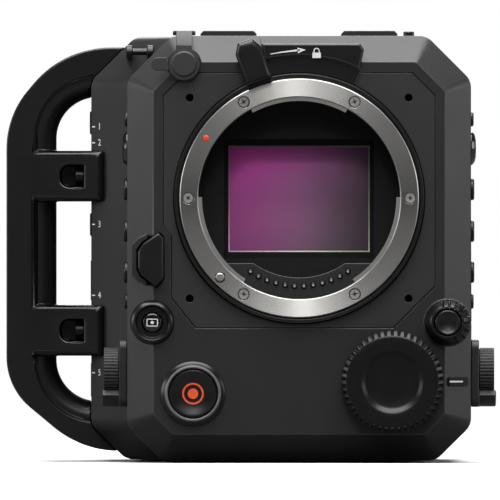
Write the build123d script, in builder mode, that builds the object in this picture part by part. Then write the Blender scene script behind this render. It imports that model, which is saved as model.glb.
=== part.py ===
# A box-shaped cinema camera with a medium-format bayonet mount.
# Millimetres, +Z up. The lens looks along -Y and X grows to the viewer's right.
# The origin is the mouth of the centre thread in the base, under the optical axis.
from build123d import *
import math
import os

os.makedirs("parts", exist_ok=True)

# Casing as seen from the front
half_width = 57.4
casing_bottom = 0.4
casing_top = 142.2
top_cut = 14.8
bottom_cut = 11.7
corner_radius = 6.0
edge_bevel = 8.8
side_wall = 3.5
front_wall = 5.0
socket_side_step = 12.3

# Casing from front to back
front_y = -62.0
seam_y = -30.0
fairing_depth = 16.0
casing_back = 60.0
cover_thickness = 4.0
cover_bevel = 1.5

# Clearances
seam = 0.2
running = 0.3
shaft_fit = 0.05
screw_fit = 0.1

# Lens mount
mount_drop = 54.2
mount_z = casing_top - mount_drop
flange_height = 2.7
flange_distance = 26.7
ring_outer = 39.9
ring_inner = 33.7
ring_thickness = 2.0
claw_inner = 32.4
claw_thickness = 1.4
claw_setback = 0.5
claw_centres = (90.0, 208.0, 332.0)
claw_span = 57.0
screw_circle = 37.0
screw_count = 6
screw_head_radius = 1.95
screw_radius = 1.0
screw_length = 8.0
plate_thickness = 2.4
pattern_width = 73.0
pattern_height = 67.0
plate_half_width = half_width - 12.2
plate_top = casing_top - 12.5
plate_bottom = mount_z - 43.2
plate_corner = 7.6
plate_hole_room = 7.4
plate_low_corner = (plate_half_width - pattern_width / 2 + mount_z - pattern_height / 2 - plate_bottom
                    - plate_hole_room)
plate_jog_z = mount_z - 11.0
plate_jog = 2.8
pattern_radius = 1.3

# Lock ring and lever
lock_ring_width = 1.5
lock_ring_front = 2.2
lock_flange_width = 2.3
lock_flange_thickness = 1.6
lever_angle = 109.0
lever_height = 6.1
lever_roll = 1.8
lever_root_half = 4.3
lever_head_half = 4.6
lever_tip_half = 2.6
lever_overlap = 1.2
lever_shoulder = 11.8
lever_reach = 15.2
lock_plate_height = 2.0
lock_plate_chamfer = 0.5
lock_plate_left, lock_plate_right = -12.6, 20.2
lock_plate_margin = 2.6
lock_plate_nose = 1.5
lock_plate_nose_drop = 2.0
lock_plate_end_drop = 8.9
lock_plate_start_angle = 68.5
lock_band_angles = (64.0, 104.0)
lock_band_height = 0.8
lock_band_width = 5.7

# Light box, filter and sensor
box_wall = 5.8
box_flange = math.hypot(pattern_width, pattern_height) / 2 + 2.45
box_back_y = -45.0
throat_back_y = -50.0
box_window_width = 50.0
box_window_height = 40.0
sensor_z = mount_z - 0.2
sensor_window_width = 47.2
sensor_window_height = 35.5
sensor_frame_width = 68.0
sensor_frame_height = 56.0
sensor_frame_thickness = 5.0
sensor_lip = 1.0
sensor_package_width = 53.6
sensor_package_height = 41.6
cover_glass_thickness = 1.4
filter_width = 56.0
filter_height = 42.0
filter_thickness = 2.0
filter_travel = 41.8
filter_low_z = sensor_z - filter_travel - filter_height / 2
runner_width = 3.0
board_thickness = 1.6
board_x = -22.0
board_front_y = -8.0
board_low_z = 16.0
board_drop = 14.2

# Contacts
contact_count = 12
contact_pitch = 6.1
contact_circle = 29.4
contact_radius = 0.9
contact_lip = 26.5
contact_top_z = mount_z - 21.7
contact_setback = 4.7
contact_depth = 8.0

# Front controls: centre x, centre z
record_x, record_z = -half_width + 22.0, casing_bottom + 22.4
record_collar = 10.8
record_ring = 9.4
record_radius = 8.1
grab_x, grab_z = -half_width + 8.4, mount_z - 41.5
grab_collar = 7.2
grab_recess = 5.4
grab_radius = 3.2
dial_x, dial_z = half_width - 26.4, casing_bottom + 26.4
dial_radius = 17.1
dial_rim_radius = 15.7
dial_face_radius = 15.1
dial_dish_radius = 10.6
dial_dish_slope = 1.7
dial_dish_depth = 1.3
dial_height = 8.0
dial_teeth = 46
dial_shaft = 3.0
corner_x, corner_z = half_width - 7.9, mount_z - 41.5
corner_dial_radius = 7.7
corner_face_radius = 5.7
corner_dial_height = 5.4
corner_groove_length, corner_groove_width = 2.6, 1.1
corner_groove_count = 9
corner_groove_start, corner_groove_span = -60.0, 160.0
corner_button_radius = 4.3
seat_height = 0.3
cap_x, cap_z = -half_width + 19.0, casing_top - 9.5
cap_radius = 5.6
cap_disc_radius = 4.3
cap_thickness = 1.6
cap_strap_width = 5.3
cap_strap_thickness = 1.2
cap_bar_length = 7.6
cap_bar_y = front_y + 12.0
release_left, release_right = -half_width + 3.7, -half_width + 12.1
release_low, release_high = mount_z - 29.6, mount_z - 11.6
release_height = 3.0
pin_circle = 37.3
pin_angle = 225.0
pin_radius = 1.5
pin_height = 1.2
pin_travel = 2.0
top_button_x = half_width - 20.7
top_button_y = seam_y - 11.0
top_button_radius = 1.8
top_button_height = 1.6

# Side controls, alike on both sides: distance below the top, radius, height above the wall
control_y = seam_y - 12.0
side_buttons = ((27.8, 2.4, 1.0), (51.2, 3.65, 1.2), (65.2, 3.6, 1.2), (78.9, 3.6, 1.2), (88.7, 2.5, 1.0))
stick_z = casing_top - 37.5
stick_radius = 5.75
stick_height = 1.8
wheel_z = casing_bottom + 29.4
wheel_radius = 8.2
wheel_width = 4.8
wheel_ribs = 44
wheel_shaft = 2.0
wheel_base_height = 22.4
wheel_base_depth = 19.0
wheel_base_thickness = 2.7
wheel_guard_width = 5.7

# Guard frame at the socket side
socket_wall_x = -half_width - socket_side_step
guard_reach = 28.5
guard_left = socket_wall_x - guard_reach
guard_end_x = socket_wall_x + 13.7
guard_gap_end_x = socket_wall_x + 19.7
guard_top = casing_top - 3.4
guard_bottom = casing_bottom + 2.8
guard_top_bevel = (19.3, 23.1)
guard_low_bevel = (25.5, 21.2)
guard_front_y = -12.0
guard_depth = 26.0
guard_bar = 16.6
guard_side_radii = (30.0, 22.0)
guard_end_radius = 34.0
guard_inner_radius = 14.0
guard_tube_width = 6.8
guard_tube_step = 0.9
guard_tube_roll = 5.6
strut_heights = (guard_top - 43.3, guard_bottom + 40.5)
strut_width = 17.0
strut_root_x = guard_left + 6.0
strut_root_y = guard_front_y + 1.0
strut_tip_x = socket_wall_x + 4.5
strut_tip_y = -22.2
strut_back_y = 2.1
strut_roll = 2.4
pocket_height = 7.5
pocket_left = socket_wall_x - 10.4
pocket_web = 2.5
guard_screw_y = -12.0
guard_screw_radius = 2.0
guard_screw_head = 3.2
guard_screw_head_height = 2.8
guard_screw_length = 8.0

# Rails, base and tie bar
rail_width = 18.8
rail_inner_x = 14.2
rail_height = 2.0
rail_stem = 13.0
rail_stem_depth = 7.0
rail_front, rail_back = -26.0, 52.0
rail_hole_radius = 3.175
rail_hole_depth = 8.0
rail_hole_pitch = 30.0
base_half_width = 24.8
base_front, base_back = -26.0, 50.0
base_thickness = 3.5
base_flange = 4.0
base_boss_radius = 8.5
base_boss_height = 11.0
centre_thread_radius = 4.76
side_thread_radius = 3.175
side_thread_pitch = 20.0
thread_depth = 9.0
tie_left, tie_right = -half_width - 0.4, -half_width + 8.6
tie_z = casing_top - 5.2
tie_y = seam_y - 4.0
tie_radius = 1.1
tie_arm = 2.0
tie_arm_length = 18.0
tie_arm_height = 4.4

# Right side panel, screen, door and switch
panel_front, panel_back = -22.0, 7.0
switch_y, switch_z = 1.0, casing_bottom + 29.6
panel_low, panel_high = switch_z + 16.0, casing_top - 24.2
panel_thickness = 1.5
screen_width = 21.0
screen_height = 34.0
screen_z = panel_high - 22.0
screen_thickness = 0.9
door_front, door_back = 12.4, 53.6
fan_y, fan_z = casing_back - 26.0, casing_bottom + 32.6
fan_size = 36.0
door_low, door_high = fan_z + fan_size / 2 + 5.4, casing_top - 26.6
door_thickness = 2.0
door_gap = 0.4
door_pin_radius = 0.5
door_pin_length = 1.2
reader_depth = 24.0
reader_margin = 4.0
slot_height = 3.0
slot_width = 28.0
switch_length, switch_width = 8.0, 7.0
switch_travel = 6.0
switch_height = 0.9
switch_sink = 1.3
switch_neck = 2.6

# Cooling
fan_radius = 15.8
fan_hub = 6.0
fan_depth = 10.0
fan_blades = 7
fan_shaft = 1.0
vent_count = 5
vent_pitch = 5.6
vent_length = 26.0
vent_height = 2.2
sink_width = 60.0
sink_height = 48.0
sink_base = 4.0
sink_depth = 21.0
sink_fins = 12
fin_thickness = 1.2

# Sockets on the wide side: depth y, height z
upper_jack_z = casing_top - 28.7
strut_gap = strut_heights[0] - strut_heights[1]
strut_middle = (strut_heights[0] + strut_heights[1]) / 2
lower_jack_share, network_share = 0.187, -0.176
lower_jack_z = strut_middle + strut_gap * lower_jack_share
jack_places = ((2.0, upper_jack_z), (14.0, upper_jack_z), (7.0, lower_jack_z))
jack_radius = 3.9
jack_hole = 1.75
jack_depth = 10.0
jack_stand = 0.6
network_y, network_z = 8.0, strut_middle + strut_gap * network_share
network_width, network_height = 15.6, 13.4
network_hole_width, network_hole_height = 11.8, 8.0
network_hole_depth = 12.0
data_y, data_z = 8.0, strut_heights[1] - 16.7
data_width, data_height = 5.2, 11.2
data_slot = 2.6
data_slot_height = 8.4
dc_socket_radius = 3.8
dc_socket_bore = 2.8

# Rear side
battery_x = half_width - 35.4
battery_low = 20.0
battery_width = 56.0
battery_height = 98.0
battery_thickness = 22.4
battery_corner = 4.0
mount_plate_width = 60.0
rear_plate_thickness = 5.0
key_width = 30.0
key_neck = 24.0
key_depth = 3.0
latch_x = battery_x - mount_plate_width / 2 - 5.5
latch_z = 62.0
latch_width, latch_height = 7.0, 16.0
video_x = socket_wall_x + 14.7
video_places = ((video_x, casing_top - 34.2), (video_x, casing_top - 58.2))
video_radius = 4.8
video_flange = 7.0
video_length = 9.0
video_bore = 3.3
inlet_x, inlet_z = latch_x - 20.5, casing_bottom + 39.6
inlet_radius = 7.5
inlet_bore = 5.6
inlet_length = 5.0
hdmi_x, hdmi_z = inlet_x, casing_top - 46.2
hdmi_width, hdmi_height = 17.0, 8.0
hdmi_slot_width, hdmi_slot_height = 14.0, 3.6

# Values that follow from the ones above
flange_y = front_y - flange_height
sensor_y = flange_y + flange_distance
fairing_back_y = seam_y + fairing_depth
cavity_inset = edge_bevel - front_wall + side_wall * math.sqrt(2)
cavity_back_y = front_y + front_wall + cavity_inset - side_wall
plate_back_y = front_y + plate_thickness
wall_back_y = front_y + front_wall
lock_ring_inner = ring_outer + running
lock_ring_outer = lock_ring_inner + lock_ring_width
lock_hole = lock_ring_outer + running
lock_band_outer = lock_ring_outer + lock_band_width
lock_flange_outer = lock_ring_outer + lock_flange_width
lip_hole = lock_flange_outer + 2.0
ring_back_y = flange_y + ring_thickness
box_outer = ring_inner + box_wall
box_bore = ring_inner + 0.2
lever_back_y = front_y - lock_plate_height - 0.4
cover_back = casing_back + cover_thickness
glass_front_y = sensor_y - 1.2 - cover_glass_thickness
frame_front_y = glass_front_y - sensor_lip
frame_back_y = frame_front_y + sensor_frame_thickness
inner_right = half_width - side_wall


def facing_front(y):
    """A sketch plane at depth y, seen from the lens side, with X and Z as its axes."""
    return Plane(origin=(0, y, 0), x_dir=(1, 0, 0), z_dir=(0, -1, 0))


def facing_side(side, x):
    """A sketch plane x away from the optical axis; side is 1 at the right and -1 at the left."""
    return Plane(origin=(side * x, 0, 0), x_dir=(0, side, 0), z_dir=(side, 0, 0))


def facing_back(y):
    """A sketch plane at depth y, seen from behind, whose axes are -X and Z."""
    return Plane(origin=(0, y, 0), x_dir=(-1, 0, 0), z_dir=(0, 1, 0))


def casing_outline(inset, widen=0.0):
    """The casing's eight-cornered outline drawn in by inset; widen moves the left side out."""
    left, right = -half_width - widen + inset, half_width - inset
    low, high = casing_bottom + inset, casing_top - inset
    shrink = inset * (2 - math.sqrt(2))
    top, bottom = top_cut - shrink, bottom_cut - shrink
    corners = [
        (left + bottom, low), (right - bottom, low), (right, low + bottom), (right, high - top),
        (right - top, high), (left + top, high), (left, high - top), (left, low + bottom),
    ]
    with BuildSketch() as outline:
        with BuildLine():
            FilletPolyline(*corners, radius=max(corner_radius - inset, corner_radius / 3), close=True)
        make_face()
    return outline.sketch


def turned(profile, x=0.0, z=0.0):
    """Turns a profile of (radius, y) points about the front-to-back axis through x and z."""
    with BuildPart() as piece:
        with BuildSketch(Plane(origin=(x, 0, z), x_dir=(1, 0, 0), z_dir=(0, 0, 1))):
            with BuildLine():
                Polyline(*profile, close=True)
            make_face()
        revolve(axis=Axis((x, 0, z), (0, 1, 0)))
    return piece.part


def turned_sideways(profile, side, y, z):
    """Turns a profile of (radius, distance from the optical axis) points about an X axis."""
    with BuildPart() as piece:
        with BuildSketch(Plane(origin=(0, y, z), x_dir=(0, 1, 0), z_dir=(0, 0, -side))):
            with BuildLine():
                Polyline(*profile, close=True)
            make_face()
        revolve(axis=Axis((0, y, z), (1, 0, 0)))
    return piece.part


def rod(radius, front, back, x=0.0, z=0.0):
    """A round bar, or the core of a hole, from front to back."""
    with BuildPart() as piece:
        with BuildSketch(facing_front(back)):
            with Locations((x, z)):
                Circle(radius)
        extrude(amount=back - front)
    return piece.part


def slab(x_range, y_range, z_range):
    """A block between two values on each axis."""
    middle = [(low + high) / 2 for low, high in (x_range, y_range, z_range)]
    size = [high - low for low, high in (x_range, y_range, z_range)]
    with BuildPart() as piece:
        with Locations(tuple(middle)):
            Box(*size)
    return piece.part


def side_rod(radius, inner, outer, side, y, z):
    """A round bar along X, or the core of a hole, from inner to outer distance."""
    with BuildPart() as piece:
        with BuildSketch(facing_side(side, inner)):
            with Locations((side * y, z)):
                Circle(radius)
        extrude(amount=outer - inner)
    return piece.part


def cut(shape):
    """Takes a shape away from the piece being built."""
    add(shape, mode=Mode.SUBTRACT)


def ring_sector(inner, outer, middle, span, x=0.0, z=0.0):
    """Part of a flat ring round x and z, between two radii, centred on an angle in degrees."""
    with BuildSketch() as sector:
        with BuildLine():
            outer_arc = CenterArc((x, z), outer, middle - span / 2, span)
            inner_arc = CenterArc((x, z), inner, middle - span / 2, span)
            Line(outer_arc @ 0, inner_arc @ 0)
            Line(outer_arc @ 1, inner_arc @ 1)
        make_face()
    return sector.sketch


def mount_plate_outline(grow):
    """The mount plate's outline, grown by grow, with its step beside the release button."""
    side, top, bottom = plate_half_width + grow, plate_top + grow, plate_bottom - grow
    corner, low_corner = plate_corner, plate_low_corner
    with BuildSketch() as outline:
        with BuildLine():
            Polyline(
                (-side, top - corner), (-side + corner, top), (side - corner, top), (side, top - corner),
                (side, bottom + low_corner + 3.0), (side - low_corner - 3.0, bottom),
                (-side + plate_jog + low_corner - 3.0, bottom),
                (-side + plate_jog, bottom + low_corner - 1.0),
                (-side + plate_jog, plate_jog_z - plate_jog / 2), (-side, plate_jog_z + plate_jog / 2),
                close=True,
            )
        make_face()
    return outline.sketch


def guard_opening(grow):
    """The opening inside the guard, grown by grow."""
    left, end = guard_left + guard_bar - grow, guard_gap_end_x + grow
    high, low = guard_top - guard_bar + grow, guard_bottom + guard_bar - grow
    corner = guard_inner_radius + grow
    with BuildSketch() as opening:
        with BuildLine():
            FilletPolyline((end, low), (end, high), (left, high), (left, low),
                           radius=[0.1, 0.1, corner, corner],
                           close=True)
        make_face()
    return opening.sketch


def strut_form(height):
    """One of the guard's struts before it is fitted: it rises to the right and its front edges are round."""
    with BuildPart() as strut:
        with BuildSketch(Plane.XY.offset(height - strut_width / 2)):
            with BuildLine():
                Polyline((strut_root_x, strut_root_y), (strut_tip_x, strut_tip_y),
                         (strut_tip_x, strut_back_y),
                         (strut_root_x, strut_back_y), close=True)
            make_face()
        extrude(amount=strut_width)
        front_edges = strut.edges().filter_by(lambda edge: edge.center().Y < (strut_root_y + strut_tip_y) / 2 + 0.5
                                              and edge.center().X > strut_root_x + 1.0)
        fillet(front_edges, radius=strut_roll)
    return strut.part


def release_outline(grow):
    """The release button's six-sided outline, grown by grow."""
    left, right = release_left - grow, release_right + grow
    low, high = release_low - grow, release_high + grow
    with BuildSketch() as outline:
        with BuildLine():
            FilletPolyline(
                (left, low + 6.2), (left + 1.0 + grow / 2, low + 4.0), (right - 2.4, low), (right, low + 2.6),
                (right, high - 1.6), (right - 1.6, high), (left + 1.6 + grow / 2, high - 3.6),
                (left, high - 6.2), radius=0.7, close=True,
            )
        make_face()
    return outline.sketch


# The outer form of the rear casing, from which the guard and the tie bar are cut to fit
with BuildPart() as casing_form:
    for widen, depth in ((0.0, seam_y), (socket_side_step, fairing_back_y)):
        with BuildSketch(facing_front(depth)):
            add(casing_outline(0.0, widen))
    loft(ruled=True)
    with BuildSketch(facing_front(casing_back)):
        add(casing_outline(0.0, socket_side_step))
    extrude(amount=casing_back - fairing_back_y)

# Front casing: a bevelled face, straight sides, open at the back
with BuildPart() as front_casing:
    for inset, depth in ((edge_bevel, 0.0), (0.0, edge_bevel)):
        with BuildSketch(facing_front(front_y + depth)):
            add(casing_outline(inset))
    loft(ruled=True)
    with BuildSketch(facing_front(seam_y)):
        add(casing_outline(0.0))
    extrude(amount=seam_y - front_y - edge_bevel)
    # Cavity with a wall of even thickness behind the bevel
    for inset, depth in ((cavity_inset, wall_back_y), (side_wall, cavity_back_y)):
        with BuildSketch(facing_front(depth)):
            add(casing_outline(inset))
    loft(ruled=True, mode=Mode.SUBTRACT)
    with BuildSketch(facing_front(seam_y)):
        add(casing_outline(side_wall))
    extrude(amount=seam_y - cavity_back_y, mode=Mode.SUBTRACT)
    # Round seats for the corner dial and the front socket
    add(rod(corner_dial_radius + 0.2, front_y - seat_height, front_y + edge_bevel, corner_x, corner_z))
    add(rod(cap_radius + 0.2, front_y - seat_height, front_y + edge_bevel, cap_x, cap_z))
    # Finger wall round the outer side of the release button
    with BuildSketch(facing_front(front_y + edge_bevel)):
        add(release_outline(2.2))
        add(release_outline(0.6), mode=Mode.SUBTRACT)
        with Locations((release_right - 1.0, (release_low + release_high) / 2)):
            Rectangle(9.0, 30.0, mode=Mode.SUBTRACT)
    extrude(amount=edge_bevel + 0.6)
    with BuildSketch(facing_front(wall_back_y)):
        add(release_outline(running))
    extrude(amount=front_wall + 2.0, mode=Mode.SUBTRACT)
    with BuildSketch(facing_front(cavity_back_y + 1.0)):
        add(release_outline(running))
    extrude(amount=cavity_back_y + 1.0 - front_y, mode=Mode.SUBTRACT)
    # Seat of the mount plate, hole for the lock ring, room for its flange
    with BuildSketch(facing_front(plate_back_y)):
        add(mount_plate_outline(seam))
    extrude(amount=plate_thickness + 1.0, mode=Mode.SUBTRACT)
    cut(rod(lock_hole, front_y - 1.0, wall_back_y + 1.0, 0.0, mount_z))
    cut(rod(lip_hole, plate_back_y, wall_back_y + 1.0, 0.0, mount_z))
    with BuildSketch(facing_front(wall_back_y + 1.0)):
        with Locations((0, mount_z)):
            with GridLocations(pattern_width, pattern_height, 2, 2):
                Circle(pattern_radius)
    extrude(amount=front_wall, mode=Mode.SUBTRACT)
    # Holes of the front controls
    cut(rod(record_ring + seam, front_y - 1.0, wall_back_y + 1.0, record_x, record_z))
    cut(rod(grab_collar + screw_fit, front_y - 1.0, front_y + edge_bevel + 1.2, grab_x, grab_z))
    cut(rod(dial_shaft + shaft_fit, front_y - 1.0, wall_back_y + 1.0, dial_x, dial_z))
    cut(rod(corner_button_radius + running + 0.6 + shaft_fit, front_y - 1.0, cavity_back_y + 1.0,
            corner_x, corner_z))
    cut(rod(dc_socket_radius + screw_fit, front_y - 1.0, cavity_back_y + 2.0, cap_x, cap_z))
    # Holes of the side controls and of the top button
    for side in (1, -1):
        for drop, radius, stand in side_buttons:
            cut(side_rod(radius + running, inner_right - 1.0, half_width + 1.0, side, control_y,
                         casing_top - drop))
        cut(side_rod(stick_radius + running, inner_right - 1.0, half_width + 1.0, side, control_y, stick_z))
        cut(side_rod(wheel_shaft + shaft_fit, inner_right - 1.0, half_width + 1.0, side, control_y, wheel_z))
    with BuildSketch(Plane.XY.offset(casing_top - side_wall - 1.0)):
        with Locations((top_button_x, top_button_y)):
            Circle(top_button_radius + running)
    extrude(amount=side_wall + 2.0, mode=Mode.SUBTRACT)
front_casing.part.label = "front_casing"
export_step(front_casing.part, "parts/front_casing.step")

# Rear casing: its socket side steps out behind a slanted fairing
with BuildPart() as main_casing:
    add(casing_form.part)
    for widen, depth in ((0.0, seam_y), (socket_side_step, fairing_back_y)):
        with BuildSketch(facing_front(depth)):
            add(casing_outline(side_wall, widen))
    loft(ruled=True, mode=Mode.SUBTRACT)
    with BuildSketch(facing_front(casing_back)):
        add(casing_outline(side_wall, socket_side_step))
    extrude(amount=casing_back - fairing_back_y, mode=Mode.SUBTRACT)
    # Slots for the rail stems and the base
    for side in (1, -1):
        stem_x = side * (rail_inner_x + rail_width / 2)
        stem = (stem_x - rail_stem / 2 - screw_fit, stem_x + rail_stem / 2 + screw_fit)
        cut(slab(stem, (rail_front + 2.0, rail_back - 2.0), (casing_top - side_wall - 1.0, casing_top + 1.0)))
    cut(slab((-base_half_width, base_half_width), (base_front, base_back),
             (casing_bottom - 1.0, casing_bottom + side_wall + 1.0)))
    # Right side: panel seat, door bay, switch slot and air outlet
    cut(slab((half_width - panel_thickness, half_width + 1.0), (panel_front, panel_back),
             (panel_low, panel_high)))
    cut(slab((half_width - door_thickness - 0.3, half_width + 1.0),
             (door_front - door_gap, door_back + door_gap), (door_low - door_gap, door_high + door_gap)))
    cut(slab((inner_right - 1.0, half_width), (door_front + 2.0, door_back - 2.0),
             (door_low + 2.0, door_high - 2.0)))
    with Locations((half_width - door_thickness / 2, door_back - door_thickness / 2,
                    (door_low + door_high) / 2)):
        Cylinder(door_pin_radius + shaft_fit, door_high - door_low + 2 * (door_pin_length + door_gap + 0.2),
                 mode=Mode.SUBTRACT)
    switch_room = switch_travel + 2 * running
    cut(slab((half_width - switch_sink, half_width + 1.0),
             (switch_y - switch_length / 2 - running, switch_y + switch_length / 2 + switch_room),
             (switch_z - switch_width / 2 - running, switch_z + switch_width / 2 + running)))
    cut(slab((inner_right - 1.0, half_width),
             (switch_y - switch_neck / 2 - running, switch_y + switch_neck / 2 + switch_room),
             (switch_z - switch_neck / 2 - running, switch_z + switch_neck / 2 + running)))
    for row in range(vent_count):
        vent_z = fan_z + (row - (vent_count - 1) / 2) * vent_pitch
        cut(slab((inner_right - 1.0, half_width + 1.0), (fan_y - vent_length / 2, fan_y + vent_length / 2),
                 (vent_z - vent_height / 2, vent_z + vent_height / 2)))
    # Air inlet between the rails
    for row in range(vent_count):
        inlet_y = row * vent_pitch - 10.0
        cut(slab((-vent_length / 3, vent_length / 3), (inlet_y - vent_height / 2, inlet_y + vent_height / 2),
                 (casing_top - side_wall - 1.0, casing_top + 1.0)))
    # Socket side: round jacks, network, data and the guard's screws
    for jack_y, jack_z in jack_places:
        cut(side_rod(jack_radius + screw_fit, -socket_wall_x - side_wall - 1.0, -socket_wall_x + 1.0, -1,
                     jack_y, jack_z))
    cut(slab((socket_wall_x - 1.0, socket_wall_x + side_wall + 1.0),
             (network_y - network_width / 2 - screw_fit, network_y + network_width / 2 + screw_fit),
             (network_z - network_height / 2 - screw_fit, network_z + network_height / 2 + screw_fit)))
    cut(slab((socket_wall_x - 1.0, socket_wall_x + side_wall + 1.0),
             (data_y - data_width / 2 - screw_fit, data_y + data_width / 2 + screw_fit),
             (data_z - data_height / 2 - screw_fit, data_z + data_height / 2 + screw_fit)))
    for height in strut_heights:
        cut(side_rod(guard_screw_radius + screw_fit, -socket_wall_x - side_wall - 1.0, -socket_wall_x + 1.0,
                     -1,
                     guard_screw_y, height))
main_casing.part.label = "main_casing"
export_step(main_casing.part, "parts/main_casing.step")

# Rear cover with a bevelled edge and the holes of the rear sockets
with BuildPart() as rear_cover:
    with BuildSketch(facing_front(cover_back - cover_bevel)):
        add(casing_outline(0.0, socket_side_step))
    extrude(amount=cover_thickness - cover_bevel)
    for inset, depth in ((0.0, cover_back - cover_bevel), (cover_bevel, cover_back)):
        with BuildSketch(facing_front(depth)):
            add(casing_outline(inset, socket_side_step))
    loft(ruled=True)
    for video_x, video_z in video_places:
        cut(rod(video_radius + screw_fit, casing_back - 1.0, cover_back + 1.0, video_x, video_z))
    cut(rod(inlet_radius + screw_fit, casing_back - 1.0, cover_back + 1.0, inlet_x, inlet_z))
    cut(slab((hdmi_x - hdmi_width / 2 - screw_fit, hdmi_x + hdmi_width / 2 + screw_fit),
             (casing_back - 1.0, cover_back + 1.0),
             (hdmi_z - hdmi_height / 2 - screw_fit, hdmi_z + hdmi_height / 2 + screw_fit)))
rear_cover.part.label = "rear_cover"
export_step(rear_cover.part, "parts/rear_cover.step")

# Two rails on the top, each with threaded holes for a handle
with BuildPart() as handle_rails:
    for side in (1, -1):
        rail_x = side * (rail_inner_x + rail_width / 2)
        with BuildSketch(facing_front(rail_back)):
            with BuildLine():
                Polyline(
                    (rail_x - rail_stem / 2, casing_top - rail_stem_depth),
                    (rail_x + rail_stem / 2, casing_top - rail_stem_depth),
                    (rail_x + rail_stem / 2, casing_top), (rail_x + rail_width / 2, casing_top),
                    (rail_x + rail_width / 2, casing_top + rail_height - 1.0),
                    (rail_x + rail_width / 2 - 1.0, casing_top + rail_height),
                    (rail_x - rail_width / 2 + 1.0, casing_top + rail_height),
                    (rail_x - rail_width / 2, casing_top + rail_height - 1.0),
                    (rail_x - rail_width / 2, casing_top), (rail_x - rail_stem / 2, casing_top),
                    close=True,
                )
            make_face()
        extrude(amount=rail_back - rail_front)
        for end in (rail_front, rail_back - 2.0 - screw_fit):
            cut(slab((rail_x - rail_stem / 2 - 1.0, rail_x + rail_stem / 2 + 1.0),
                     (end, end + 2.0 + screw_fit), (casing_top - rail_stem_depth - 1.0, casing_top)))
        with BuildSketch(Plane.XY.offset(casing_top + rail_height - rail_hole_depth)):
            with Locations((rail_x, (rail_front + rail_back) / 2)):
                with GridLocations(1.0, rail_hole_pitch, 1, 2):
                    Circle(rail_hole_radius)
        extrude(amount=rail_hole_depth + 1.0, mode=Mode.SUBTRACT)
handle_rails.part.label = "handle_rails"
export_step(handle_rails.part, "parts/handle_rails.step")

# Base with its centre thread and two side threads
thread_places = ((0.0, 0.0, centre_thread_radius), (0.0, side_thread_pitch, side_thread_radius),
                 (0.0, -side_thread_pitch, side_thread_radius))
with BuildPart() as base_plate:
    add(slab((-base_half_width + screw_fit, base_half_width - screw_fit),
             (base_front + screw_fit, base_back - screw_fit), (0.0, casing_bottom + side_wall)))
    add(slab((-base_half_width - base_flange, base_half_width + base_flange),
             (base_front + screw_fit, base_back + base_flange),
             (casing_bottom + side_wall, casing_bottom + side_wall + base_thickness)))
    with BuildSketch(Plane.XY.offset(casing_bottom + side_wall)):
        for thread_x, thread_y, thread_radius in thread_places:
            with Locations((thread_x, thread_y)):
                Circle(base_boss_radius)
    extrude(amount=base_boss_height - casing_bottom - side_wall)
    with BuildSketch(Plane.XY):
        for thread_x, thread_y, thread_radius in thread_places:
            with Locations((thread_x, thread_y)):
                Circle(thread_radius)
    extrude(amount=thread_depth, mode=Mode.SUBTRACT)
    chamfer(base_plate.faces().sort_by(Axis.Z)[0].outer_wire().edges(), length=casing_bottom * 0.75)
base_plate.part.label = "base_plate"
export_step(base_plate.part, "parts/base_plate.step")

# Plate let into the front round the mount, with four threaded holes
with BuildPart() as mount_plate:
    with BuildSketch(facing_front(plate_back_y)):
        add(mount_plate_outline(0.0))
        with Locations((0, mount_z)):
            Circle(lock_hole, mode=Mode.SUBTRACT)
            with GridLocations(pattern_width, pattern_height, 2, 2):
                Circle(pattern_radius, mode=Mode.SUBTRACT)
    extrude(amount=plate_thickness)
mount_plate.part.label = "mount_plate"
export_step(mount_plate.part, "parts/mount_plate.step")

# Steel bayonet ring: three claws set back a little, six countersunk holes, the pin's hole
with BuildPart() as mount_ring:
    add(turned([(ring_inner, flange_y + 0.3), (ring_inner + 0.3, flange_y), (ring_outer - 0.3, flange_y),
                (ring_outer, flange_y + 0.3), (ring_outer, ring_back_y), (ring_inner, ring_back_y)], 0.0,
                mount_z))
    for centre in claw_centres:
        with BuildSketch(facing_front(flange_y + claw_setback + claw_thickness)):
            add(ring_sector(claw_inner, ring_inner + 0.5, centre, claw_span, 0.0, mount_z))
        extrude(amount=claw_thickness)
    for step in range(screw_count):
        angle = math.radians(360.0 * step / screw_count)
        screw_x, screw_z = screw_circle * math.cos(angle), mount_z + screw_circle * math.sin(angle)
        head = screw_head_radius + screw_fit
        neck = screw_radius + screw_fit
        cut(turned([(0, flange_y - 1.0), (head, flange_y - 1.0), (head, flange_y + 0.4),
                    (neck, flange_y + 0.4 + head - neck), (neck, ring_back_y + 1.0), (0, ring_back_y + 1.0)],
                   screw_x, screw_z))
    pin_x = pin_circle * math.cos(math.radians(pin_angle))
    pin_z = mount_z + pin_circle * math.sin(math.radians(pin_angle))
    cut(rod(pin_radius + running, flange_y - 1.0, ring_back_y + 1.0, pin_x, pin_z))
mount_ring.part.label = "mount_ring"
export_step(mount_ring.part, "parts/mount_ring.step")

# Six countersunk screws, with a cross recess each
with BuildPart() as mount_screws:
    for step in range(screw_count):
        angle = math.radians(360.0 * step / screw_count)
        screw_x, screw_z = screw_circle * math.cos(angle), mount_z + screw_circle * math.sin(angle)
        add(turned([(0, flange_y + 0.1), (screw_head_radius - 0.1, flange_y + 0.1),
                    (screw_head_radius, flange_y + 0.2), (screw_head_radius, flange_y + 0.4),
                    (screw_radius, flange_y + 0.4 + screw_head_radius - screw_radius),
                    (screw_radius, flange_y + screw_length), (0, flange_y + screw_length)], screw_x, screw_z))
        with BuildSketch(facing_front(flange_y + 0.9)):
            with Locations(Location((screw_x, screw_z), 20.0 * step)):
                Rectangle(2.2, 0.5)
                Rectangle(0.5, 2.2)
        extrude(amount=1.0, mode=Mode.SUBTRACT)
mount_screws.part.label = "mount_screws"
export_step(mount_screws.part, "parts/mount_screws.step")

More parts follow.
